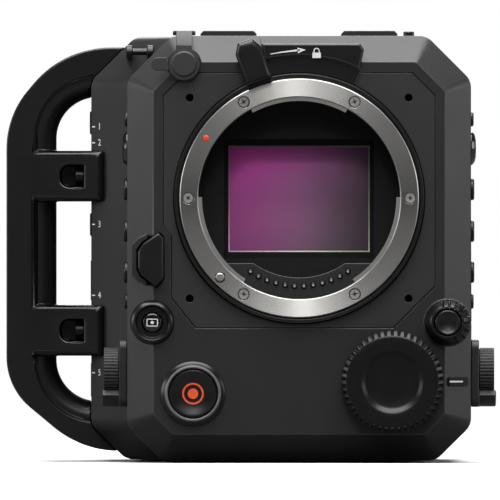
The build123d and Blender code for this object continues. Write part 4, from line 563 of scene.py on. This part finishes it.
def gridPiece(name, points, body, finish):
    # points is a grid of places in metres, rows by columns; its columns run round and meet, and the ends are
    # joined where their points coincide
    rows, columns = points.shape[:2]
    row = np.arange(rows - 1)[:, None] * columns
    column = np.arange(columns)[None, :]
    nextRow, nextColumn = row + columns, (column + 1) % columns
    corners = (row + column, row + nextColumn, nextRow + nextColumn, nextRow + column)
    faces = np.stack(corners, axis=-1).reshape(-1, 4)
    mesh = bpy.data.meshes.new(name)
    mesh.from_pydata(points.reshape(-1, 3).tolist(), [], faces.tolist())
    work = bmesh.new()
    work.from_mesh(mesh)
    bmesh.ops.remove_doubles(work, verts=work.verts, dist=gridJoin["weld"] * mm)
    bmesh.ops.recalc_face_normals(work, faces=work.faces)
    work.to_mesh(mesh)
    work.free()
    mesh.polygons.foreach_set("use_smooth", np.ones(len(mesh.polygons), bool))
    mesh.set_sharp_from_angle(angle=math.radians(gridJoin["sharp"]))
    return added(name, mesh, body, finish)


def surfaceFrame(origin, right, up):
    # A flat spot on the object: its middle in mm, its own right and up, and the outward direction
    right, up = np.array(right, float), np.array(up, float)
    right, up = right / np.linalg.norm(right), up / np.linalg.norm(up)
    return np.array(origin, float), right, up, np.cross(right, up)


def frontSpot(x, y, z):
    # A spot that faces the lens side
    return surfaceFrame((x, y, z), (1, 0, 0), (0, 0, 1))


def sideSpot(sign, wall, y, z):
    # A spot that faces right where sign is 1 and left where it is -1
    return surfaceFrame((sign * wall, y, z), (0, sign, 0), (0, 0, 1))


def placed(spot, across, along, out):
    # Sums the spot's middle and its three directions, each times its distance in mm, as metres
    origin, right, up, outward = spot
    return (origin + across[..., None] * right + along[..., None] * up + out[..., None] * outward) * mm


# How far printed marks reach under and over their surface, in mm
ink = {"under": 0.01, "over": 0.03, "curveSteps": 4}


def stroke(name, spot, path, width, body="camera", finish="whiteInk"):
    # A printed line: at each point of the path, four corners across it, width apart, two under the surface
    # and two over it
    path = np.array(path, float)
    widths = np.broadcast_to(np.array(width, float), len(path)) / 2.0
    ahead = np.gradient(path, axis=0)
    ahead = ahead / np.linalg.norm(ahead, axis=1)[:, None]
    side = np.stack((-ahead[:, 1], ahead[:, 0]), axis=1)
    spread = np.array([-1.0, 1.0, 1.0, -1.0])[None, :] * widths[:, None]
    flat = path[:, None, :] + side[:, None, :] * spread[..., None]
    levels = np.array([-ink["under"], -ink["under"], ink["over"], ink["over"]])
    raised = np.broadcast_to(levels[None, :], spread.shape)
    middle = np.broadcast_to(raised.mean(axis=1, keepdims=True), raised.shape)
    first, last = [flat[end].mean(axis=0)[None].repeat(4, 0) for end in (0, -1)]
    ends = np.concatenate(([first], flat, [last]))
    heights = np.concatenate((middle[:1], raised, middle[-1:]))
    return gridPiece(name, placed(spot, ends[..., 0], ends[..., 1], heights), body, finish)


def turnedPiece(name, spot, profile, body, finish, turns=48):
    # A profile of (radius, height) in mm carried round the spot's outward direction
    profile = np.array(profile, float)
    angle = np.arange(turns) * 2.0 * math.pi / turns
    across = profile[:, 0][:, None] * np.cos(angle)[None, :]
    along = profile[:, 0][:, None] * np.sin(angle)[None, :]
    out = np.broadcast_to(profile[:, 1][:, None], across.shape)
    return gridPiece(name, placed(spot, across, along, out), body, finish)


def arcPath(middle, radius, start, stop, count=16):
    # Points on a circle between two angles in degrees
    angle = np.radians(np.linspace(start, stop, count))
    return np.stack((middle[0] + radius * np.cos(angle), middle[1] + radius * np.sin(angle)), axis=1)


def digit(name, figure, spot, size, body="camera", finish="whiteInk"):
    # A plain number, made a mesh and then laid on its spot
    words = bpy.data.curves.new(name, "FONT")
    words.body = figure
    words.size = size
    words.align_x = "CENTER"
    words.align_y = "CENTER"
    words.extrude = (ink["over"] + ink["under"]) / 2
    words.resolution_u = ink["curveSteps"]
    flat = linked(name + "Flat", words)
    bpy.context.view_layer.update()
    mesh = bpy.data.meshes.new_from_object(flat)
    bpy.data.objects.remove(flat)
    points = np.zeros(len(mesh.vertices) * 3)
    mesh.vertices.foreach_get("co", points)
    across, along, out = points.reshape(-1, 3).T
    points = placed(spot, across, along, out + (ink["over"] - ink["under"]) / 2)
    mesh.vertices.foreach_set("co", points.reshape(-1))
    mesh.materials.clear()
    return added(name, mesh, body, finish)


# Large dial: dished face, and a bevelled rim of square teeth; the rim's radius is the root plus the tooth's
# height times a wave of the turn angle that is pushed up and cut off flat
largeDial = {"x": 31.0, "z": 26.8, "back": -62.5, "teeth": 46, "root": 15.75, "tip": 17.1, "bevel": 1.5,
             "shaft": 3.0, "sunk": 5.0, "steps": 12, "gain": 1.6, "push": 0.55, "corner": 0.12, "lip": 0.08,
             "foot": 0.3, "inset": 0.9,
             "face": [(0, 6.5), (5.0, 6.52), (8.5, 6.62), (8.9, 6.72), (9.2, 6.95), (10.2, 7.75),
                      (10.5, 7.93), (10.9, 8.0), (14.7, 8.0), (15.15, 7.93), (15.4, 7.75)]}


def dialPiece(name, look):
    columns = look["teeth"] * look["steps"]
    angle = np.arange(columns) * 2.0 * math.pi / columns
    tooth = np.clip(np.cos(angle * look["teeth"]) * look["gain"] + look["push"], 0.0, 1.0)
    rim = look["root"] + (look["tip"] - look["root"]) * tooth
    middle, shaft = np.zeros(columns), np.full(columns, look["shaft"])
    face = [np.full(columns, radius) for radius, _ in look["face"]]
    radii = face + [rim - look["corner"], rim, rim, rim * look["inset"], shaft, shaft, middle]
    high = [np.full(columns, height) for _, height in look["face"]]
    shoulder = high[-1] - (rim - look["root"]) / (look["tip"] - look["root"]) * look["bevel"]
    sunk = middle - look["sunk"]
    levels = high + [shoulder + look["lip"], shoulder - look["corner"], middle + look["foot"], middle, middle,
                     sunk, sunk]
    radii, levels = np.stack(radii), np.stack(levels)
    spot = frontSpot(look["x"], look["back"], look["z"])
    points = placed(spot, radii * np.cos(angle), radii * np.sin(angle), levels)
    piece = gridPiece(name, points, "filter_dial", "anodised")
    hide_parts("filter_dial")
    return piece


dialPiece("toothed_dial", largeDial)

# Small dial: a cone with notches over part of its turn. Each point of the profile has a radius, a height and
# its share of a notch: a rounded step of the turn angle times that share moves it inward and downward
smallDial = {"x": 49.5, "z": 46.5, "back": -62.60, "columns": 720, "start": -66.0, "stop": 106.0,
             "margin": 0.03, "notches": 8, "gain": 1.5, "push": -0.45, "inward": 0.45, "downward": 1.0,
             "profile": [(4.55, 3.0, 0.0), (4.55, 5.1, 0.0), (4.85, 5.4, 0.0), (5.1, 5.4, 0.15),
                         (5.5, 5.25, 0.8), (6.0, 4.55, 1.0), (6.8, 3.4, 1.0), (7.45, 2.3, 1.0),
                         (7.7, 1.7, 0.7), (7.7, 1.2, 0.2), (7.7, 0.0, 0.0), (4.55, 0.0, 0.0),
                         (4.55, 3.0, 0.0)]}


def conePiece(name, look):
    columns, margin = look["columns"], look["margin"]
    angle = np.arange(columns) * 2.0 * math.pi / columns
    turn = np.degrees((angle + math.pi) % (2.0 * math.pi) - math.pi)
    along = (turn - look["start"]) / (look["stop"] - look["start"])
    wave = np.cos(along * look["notches"] * 2.0 * math.pi) * look["gain"] + look["push"]
    wave = np.clip(wave, 0.0, 1.0)
    wave = wave * wave * (3.0 - 2.0 * wave) * ((along > -margin) & (along < 1.0 + margin))
    radii = np.array([radius - wave * sunk * look["inward"] for radius, _, sunk in look["profile"]])
    levels = np.array([height - wave * sunk * look["downward"] for _, height, sunk in look["profile"]])
    spot = frontSpot(look["x"], look["back"], look["z"])
    points = placed(spot, radii * np.cos(angle), radii * np.sin(angle), levels)
    piece = gridPiece(name, points, "corner_dial", "anodised")
    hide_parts("corner_dial")
    return piece


conePiece("notched_dial", smallDial)

# Felt washers that close the running gap between each side wheel and its base
wheelWasher = {"wall": 60.1, "y": -42.0, "z": 29.8, "bore": 2.4, "radius": 7.8, "low": 0.02, "high": 0.28}
washerIn, washerOut = wheelWasher["bore"], wheelWasher["radius"]
washerLow, washerHigh = wheelWasher["low"], wheelWasher["high"]
washerProfile = [(washerIn, washerLow), (washerOut, washerLow), (washerOut, washerHigh),
                 (washerIn, washerHigh), (washerIn, washerLow)]
for sideName, sideSign in (("right", 1.0), ("left", -1.0)):
    spot = sideSpot(sideSign, wheelWasher["wall"], wheelWasher["y"], wheelWasher["z"])
    turnedPiece(f"{sideName}_wheel_washer", spot, washerProfile, "camera", "flock", 64)
print("dials and washers are on")

# Red dot on the bayonet ring where a lens is lined up
indexDot = {"circle": 36.9, "angle": 147.2, "flangeFront": -64.7,
            "profile": [(0, -0.3), (1.0, -0.3), (1.0, 0.02), (0.85, 0.12), (0.45, 0.18), (0, 0.2)]}
dotTurn = math.radians(indexDot["angle"])
dotHeight = lensHeight + indexDot["circle"] * math.sin(dotTurn)
dotSpot = frontSpot(indexDot["circle"] * math.cos(dotTurn), indexDot["flangeFront"], dotHeight)
turnedPiece("index_dot", dotSpot, indexDot["profile"], "camera", "redDot")

# Curved arrow and open padlock on the plate that the lever passes over
lockMarks = {"front": -64.0, "arrow": [(-9.6, 136.0), (-5.0, 136.9), (0.2, 137.3)], "line": (0.25, 0.62),
             "head": (-0.7, 1.9), "headWidth": (1.9, 0.05), "lock": (5.8, 136.4), "bodyHalf": 1.4,
             "bodyWidth": 1.8, "drop": 0.8, "bowRadius": 0.85, "bowRise": 0.7, "bowLine": 0.34}
plateSpot = frontSpot(0, lockMarks["front"], 0)
arrowStart, arrowMiddle, arrowEnd = [np.array(point) for point in lockMarks["arrow"]]
share = np.linspace(0, 1, 20)[:, None]
arrowLine = (1 - share) ** 2 * arrowStart + 2 * share * (1 - share) * arrowMiddle + share ** 2 * arrowEnd
stroke("arrow_line", plateSpot, arrowLine, np.linspace(*lockMarks["line"], 20))
headAhead = (arrowEnd - arrowMiddle) / np.linalg.norm(arrowEnd - arrowMiddle)
headLine = arrowEnd + headAhead * np.linspace(*lockMarks["head"], 8)[:, None]
stroke("arrow_head", plateSpot, headLine, np.linspace(*lockMarks["headWidth"], 8))
lockX, lockZ = lockMarks["lock"]
bodyHalf, bodyZ, bowRadius = lockMarks["bodyHalf"], lockZ - lockMarks["drop"], lockMarks["bowRadius"]
bodyLine = [(lockX + along, bodyZ) for along in (-bodyHalf, 0.0, bodyHalf)]
stroke("lock_body", plateSpot, bodyLine, lockMarks["bodyWidth"])
bow = np.concatenate(([(lockX - bowRadius, lockZ)],
                      arcPath((lockX, lockZ + lockMarks["bowRise"]), bowRadius, 180, 0),
                      [(lockX + bowRadius, lockZ)]))
stroke("lock_bow", plateSpot, bow, lockMarks["bowLine"])

# Red record mark, following the dish of the button
recordMark = {"front": -62.9, "dish": 4.05, "depth": 0.2, "dot": 1.75, "ring": (3.0, 3.6), "under": 0.1,
              "over": 0.03}
recordSpot = frontSpot(recordPlace[0], recordMark["front"], recordPlace[1])
markUnder, markOver = recordMark["under"], recordMark["over"]


def dishHeight(radius):
    return recordMark["depth"] * radius / recordMark["dish"]


dishedButton = {"wall": -62.0, "profile": [(0, 0.9), (recordMark["dish"], 1.1), (5.2, 1.34), (6.3, 1.64),
                                           (7.1, 1.87), (7.5, 1.92), (7.8, 1.86), (8.0, 1.7), (8.1, 1.45),
                                           (8.1, -1.0), (0, -1.0)]}
dishSpot = frontSpot(recordPlace[0], dishedButton["wall"], recordPlace[1])
dished = turnedPiece("dished_button", dishSpot, dishedButton["profile"], "record_button", "plastic",
                     128)
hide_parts("record_button")
dotEdge = recordMark["dot"]
dotRise = dishHeight(dotEdge)
dotProfile = [(0, -markUnder), (dotEdge, dotRise - markUnder), (dotEdge, dotRise + markOver), (0, markOver)]
turnedPiece("record_dot", recordSpot, dotProfile, "record_button", "redInk", 64)
ringIn, ringOut = recordMark["ring"]
riseIn, riseOut = dishHeight(ringIn), dishHeight(ringOut)
ringProfile = [(ringIn, riseIn - markUnder), (ringOut, riseOut - markUnder), (ringOut, riseOut + markOver),
               (ringIn, riseIn + markOver), (ringIn, riseIn - markUnder)]
turnedPiece("record_ring", recordSpot, ringProfile, "record_button", "redInk", 96)

# White frame with a dot on the still-picture button
grabMark = {"x": -49.0, "z": 46.5, "front": -63.27, "halfWidth": 1.75, "halfHeight": 1.15, "line": 0.3,
            "dot": [(0, -0.05), (0.55, -0.05), (0.55, 0.03), (0, 0.03)]}
grabSpot = frontSpot(grabMark["x"], grabMark["front"], grabMark["z"])
halfW, halfH, pen = grabMark["halfWidth"], grabMark["halfHeight"], grabMark["line"]
for markName, ends in {"grab_low": ((-halfW, -halfH), (halfW, -halfH)),
                       "grab_high": ((-halfW, halfH), (halfW, halfH)),
                       "grab_left": ((-halfW, -halfH), (-halfW, halfH)),
                       "grab_right": ((halfW, -halfH), (halfW, halfH))}.items():
    stroke(markName, grabSpot, np.linspace(ends[0], ends[1], 3), pen, "grab_button")
turnedPiece("grab_dot", grabSpot, grabMark["dot"], "grab_button", "whiteInk", 24)

# Numbers and ticks beside the sockets, on the slanted fairing
fairing = {"outer": (-69.7, -14.0), "inner": (-57.4, -30.0), "heights": (112.1, 106.7, 79.3, 55.5, 29.5),
           "tick": (0.5, 2.1), "tickWidth": 0.4, "figureAt": 4.6, "figureSize": 3.1}
outer, inner = np.array(fairing["outer"]), np.array(fairing["inner"])
slant = (inner - outer) / np.linalg.norm(inner - outer)
middle = outer + slant * fairing["figureAt"]
tickStart, tickEnd = fairing["tick"]
tick = [(tickStart, 0), ((tickStart + tickEnd) / 2, 0), (tickEnd, 0)]
for number, height in enumerate(fairing["heights"], start=1):
    spot = surfaceFrame((*outer, height), (*slant, 0), (0, 0, 1))
    stroke(f"socket_tick_{number}", spot, tick, fairing["tickWidth"])
    figureSpot = surfaceFrame((*middle, height), (*slant, 0), (0, 0, 1))
    digit(f"socket_figure_{number}", str(number), figureSpot, fairing["figureSize"])

# Plain numbers beside the buttons of both sides, beside the rear sockets and on the small screen
smallFigures = {"wall": 57.4, "buttonAt": -48.9, "buttonHeights": (114.4, 91.0, 77.0, 63.3, 53.5),
                "buttonSize": 2.2, "cover": 64.0,
                "socketPlaces": ((-44.6, 108.0), (-44.6, 84.0), (-34.0, 88.4), (-34.0, 51.0)),
                "socketSize": 3.4, "screenWall": 57.3, "screenAt": -7.5, "barHeight": 82.6,
                "bar": [(-8.0, 0), (0, 0), (5.0, 0)], "barWidth": 1.3,
                "screenRows": (("24", 106.0, 7.0), ("180", 97.0, 5.0), ("5600", 89.5, 5.0))}
for sideName, sideSign in (("right", 1.0), ("left", -1.0)):
    for number, height in enumerate(smallFigures["buttonHeights"], start=1):
        spot = sideSpot(sideSign, smallFigures["wall"], smallFigures["buttonAt"], height)
        digit(f"{sideName}_figure_{number}", str(number), spot, smallFigures["buttonSize"])
for number, (x, z) in enumerate(smallFigures["socketPlaces"], start=1):
    spot = surfaceFrame((x, smallFigures["cover"], z), (-1, 0, 0), (0, 0, 1))
    digit(f"rear_figure_{number}", str(number), spot, smallFigures["socketSize"])
for row, (figures, z, size) in enumerate(smallFigures["screenRows"], start=1):
    spot = sideSpot(1, smallFigures["screenWall"], smallFigures["screenAt"], z)
    digit(f"screen_figures_{row}", figures, spot, size, finish="screenInk")
spot = sideSpot(1, smallFigures["screenWall"], smallFigures["screenAt"], smallFigures["barHeight"])
stroke("screen_bar", spot, smallFigures["bar"], smallFigures["barWidth"], finish="screenInk")

# White line on the index beside the large dial
indexLine = {"x": 51.85, "y": -58.85, "z": 26.8, "halfLength": 3.1, "width": 0.55, "thickness": 0.8}
step = indexLine["thickness"] / math.sqrt(2)
lineSpot = surfaceFrame((indexLine["x"] + step, indexLine["y"] - step, indexLine["z"]), (1, 1, 0), (0, 0, 1))
stroke("index_line", lineSpot, [(-indexLine["halfLength"], 0), (0, 0), (indexLine["halfLength"], 0)],
       indexLine["width"])

# Ground edge of the glass round the sensor's window: a thin sloped frame
edgeFrame = {"width": 0.42, "front": -40.75, "back": -40.35, "slope": 0.2}
turn = np.array([(-1, -1), (1, -1), (1, 1), (-1, 1)], float)
halfSize = np.array([sensorWindow["width"], sensorWindow["height"]]) / 2
windowMiddle = sensorWindow["low"] + sensorWindow["height"] / 2
outerLoop = turn * halfSize
innerLoop = turn * (halfSize - edgeFrame["width"])
loops = [(outerLoop, edgeFrame["back"]), (outerLoop, edgeFrame["front"]),
         (innerLoop, edgeFrame["front"] + edgeFrame["slope"]), (innerLoop, edgeFrame["back"]),
         (outerLoop, edgeFrame["back"])]
edgePoints = np.array([[(x, y, z + windowMiddle) for x, z in loop] for loop, y in loops]) * mm
gridPiece("glass_edge", edgePoints, "camera", "glassEdge")
print("marks are on")

# Threads in the base and the rails: the wall's radius falls and rises once for each turn and pitch
quarterInch = {"radius": 3.175, "pitch": 1.27, "depth": 0.5}
threeEighths = {"radius": 4.76, "pitch": 1.5875, "depth": 0.7}
inBase, inRail = {"up": 1, "length": 8.6}, {"up": -1, "length": 7.6}
railHoles = {"across": 23.6, "along": (-2.0, 28.0), "top": 144.2}
threadCut = {"columns": 48, "rowsPerTurn": 10, "start": 0.25, "clear": 0.02, "back": 0.01}
threads = {
    "tripod_thread_turns": {"place": (0, 0, 0), **inBase, **threeEighths},
    "back_thread_turns": {"place": (0, 20, 0), **inBase, **quarterInch},
    "front_thread_turns": {"place": (0, -20, 0), **inBase, **quarterInch},
}
for railSide in (-railHoles["across"], railHoles["across"]):
    for holeAt in railHoles["along"]:
        place = (railSide, holeAt, railHoles["top"])
        threads[f"rail_thread_turns_{len(threads)}"] = {"place": place, **inRail, **quarterInch}


def threadPiece(name, thread):
    # On a grid of turn angle and height, radius = wall - depth times a triangle wave of
    # height / pitch + angle / turn
    angle = np.arange(threadCut["columns"]) * 2.0 * math.pi / threadCut["columns"]
    rows = int(thread["length"] / thread["pitch"] * threadCut["rowsPerTurn"])
    height = np.linspace(threadCut["start"], thread["length"], rows)[:, None]
    phase = (height / thread["pitch"] + angle[None, :] / (2.0 * math.pi)) % 1.0
    radius = thread["radius"] - threadCut["clear"] - thread["depth"] * (1.0 - np.abs(2.0 * phase - 1.0))
    inside = np.stack((radius * np.cos(angle), radius * np.sin(angle), np.broadcast_to(height, radius.shape)),
                      axis=-1)
    wall = inside.copy()
    wall[..., 0] = (thread["radius"] - threadCut["back"]) * np.cos(angle)
    wall[..., 1] = (thread["radius"] - threadCut["back"]) * np.sin(angle)
    points = np.concatenate((inside, wall[::-1], inside[:1]))
    points[..., 2] *= thread["up"]
    return gridPiece(name, (points + np.array(thread["place"])) * mm, "camera", "blackScrew")


for name, thread in threads.items():
    threadPiece(name, thread)
print("threads:", len(threads))

# Floor, lamps and camera
studio = {"floorSize": 40.0, "floorLevel": -0.0004, "fadeStart": 0.45, "fadeEnd": 1.6, "floorBlotch": 60.0,
          "floorColours": ((0.80, 0.80, 0.80, 1.0), (0.82, 0.82, 0.82, 1.0)),
          "floorSeenByObject": (0.12, 0.12, 0.12, 1.0), "ambient": 0.08}
floorMesh = bpy.data.meshes.new("floor")
half = studio["floorSize"] / 2
floorMesh.from_pydata([(x, y, studio["floorLevel"]) for x, y in ((-half, -half), (half, -half), (half, half),
                                                                 (-half, half))], [], [(0, 1, 2, 3)])
linked("floor", floorMesh)

floorFinish = Finish("paleFloor", {"Roughness": 0.9, "Specular IOR Level": 0.1})
x, y = floorFinish.along("X"), floorFinish.along("Y")
far = floorFinish.maths("SQRT", x * x + y * y, 0.0)
fade = floorFinish.maths("DIVIDE", far - studio["fadeStart"], studio["fadeEnd"] - studio["fadeStart"], True)
seen = floorFinish.node("ShaderNodeLightPath", {}, {}, "Is Camera Ray")
white = floorFinish.node("ShaderNodeEmission", {}, {"Color": (1.0, 1.0, 1.0, 1.0), "Strength": 1.0})
blend = floorFinish.node("ShaderNodeMixShader", {}, {0: seen * fade, 2: white})
pale = floorFinish.mixed(floorFinish.noise(studio["floorBlotch"]), *studio["floorColours"])
floorFinish.feed(colour=floorFinish.mixed(seen, studio["floorSeenByObject"], pale))
floorFinish.tree.links.new(floorFinish.shader.outputs["BSDF"], blend.socket.node.inputs[1])
floorFinish.tree.links.new(blend.socket, floorFinish.end.inputs["Surface"])
floorMesh.materials.append(floorFinish.material)

world = bpy.data.worlds.new("studio")
bpy.context.scene.world = world
world.use_nodes = True
worldTree = world.node_tree
worldTree.nodes.clear()
paths = worldTree.nodes.new("ShaderNodeLightPath")
chooser = worldTree.nodes.new("ShaderNodeMixShader")
worldEnd = worldTree.nodes.new("ShaderNodeOutputWorld")
worldTree.links.new(paths.outputs["Is Camera Ray"], chooser.inputs[0])
for place, strength in ((1, studio["ambient"]), (2, 1.0)):
    paleSky = worldTree.nodes.new("ShaderNodeBackground")
    paleSky.inputs["Color"].default_value = (1.0, 1.0, 1.0, 1.0)
    paleSky.inputs["Strength"].default_value = strength
    worldTree.links.new(paleSky.outputs[0], chooser.inputs[place])
worldTree.links.new(chooser.outputs[0], worldEnd.inputs["Surface"])

# Lamps: a broad soft box above, a weak one in front, narrow ones at both sides, one behind
lamps = {
    "topLamp": {"at": (-0.016, -0.30, 1.45), "aim": (-0.016, 0.0, 0.08), "size": (1.7, 1.5), "power": 66.0},
    "frontLamp": {"at": (0.0, -2.6, 1.5), "aim": (0.0, 0.0, 0.07), "size": (1.5, 0.9), "power": 10.8},
    "leftLamp": {"at": (-1.7, -0.32, 0.42), "aim": (0.0, 0.0, 0.1), "size": (0.75, 0.66), "power": 8.0},
    "rightLamp": {"at": (1.7, -0.1, 0.42), "aim": (0.0, 0.0, 0.1), "size": (1.2, 0.66), "power": 9.0},
    "backLamp": {"at": (0.2, 2.2, 1.3), "aim": (0.0, 0.0, 0.07), "size": (1.4, 1.0), "power": 26.0},
    "highSpot": {"at": (-0.05, -1.7, 1.2), "aim": (-0.03, -0.06, 0.18), "cone": 14.0, "power": 24.0,
                 "radius": 0.12},
    "leftSpot": {"at": (-1.2, -0.15, 0.6), "aim": (-0.07, -0.05, 0.22), "cone": 20.0, "power": 40.0,
                 "radius": 0.25, "diffuseOnly": True},
}


def aimed(thing, at, aim):
    direction = np.array(aim, float) - np.array(at, float)
    flat = math.hypot(direction[0], direction[1])
    thing.location = at
    thing.rotation_euler = (math.atan2(flat, -direction[2]), 0.0, math.atan2(-direction[0], direction[1]))


for name, lamp in lamps.items():
    data = bpy.data.lights.new(name, "SPOT" if "cone" in lamp else "AREA")
    data.energy = lamp["power"]
    if "cone" in lamp:
        data.spot_size = math.radians(lamp["cone"])
        data.spot_blend = 1.0
        data.shadow_soft_size = lamp["radius"]
    else:
        data.shape = "RECTANGLE"
        data.size, data.size_y = lamp["size"]
    holder = linked(name, data)
    holder.visible_glossy = "diffuseOnly" not in lamp
    aimed(holder, lamp["at"], lamp["aim"])

# A dark board that only reflections see, as in front of a shiny object in a studio
board = {"halfWidth": 2.2, "front": -3.0, "low": -0.5, "high": 0.95, "blotch": 80.0,
         "colours": ((0.02, 0.02, 0.02, 1.0), (0.03, 0.03, 0.03, 1.0))}
boardFinish = Finish("darkBoard", {"Roughness": 1.0, "Specular IOR Level": 0.0})
boardFinish.feed(colour=boardFinish.mixed(boardFinish.noise(board["blotch"]), *board["colours"]))
boardMesh = bpy.data.meshes.new("frontBoard")
boardEnd, boardFront = board["halfWidth"], board["front"]
boardMesh.from_pydata([(-boardEnd, boardFront, board["low"]), (boardEnd, boardFront, board["low"]),
                       (boardEnd, boardFront, board["high"]), (-boardEnd, boardFront, board["high"])],
                      [], [(0, 1, 2, 3)])
boardMesh.materials.append(boardFinish.material)
panel = linked("frontBoard", boardMesh)
for ray in ("camera", "diffuse", "shadow", "transmission", "volume_scatter"):
    setattr(panel, "visible_" + ray, False)

# The camera looks along +Y; 500 pixels cover 166.7 mm at the flange
view = {"middle": (-16.4, 70.7), "distance": 7.0, "flange": -0.0647, "covers": 500.0 / 3.0, "sensor": 36.0}
cameraData = bpy.data.cameras.new("camera")
cameraData.sensor_width = view["sensor"]
cameraData.lens = view["sensor"] * (view["distance"] + view["flange"]) / (view["covers"] * mm)
cameraData.clip_end = 100.0
cameraObject = linked("camera", cameraData)
cameraObject.location = (view["middle"][0] * mm, -view["distance"], view["middle"][1] * mm)
cameraObject.rotation_euler = (math.pi / 2, 0.0, 0.0)
bpy.context.scene.camera = cameraObject
bpy.context.scene.view_settings.view_transform = "Standard"
print("studio is ready")
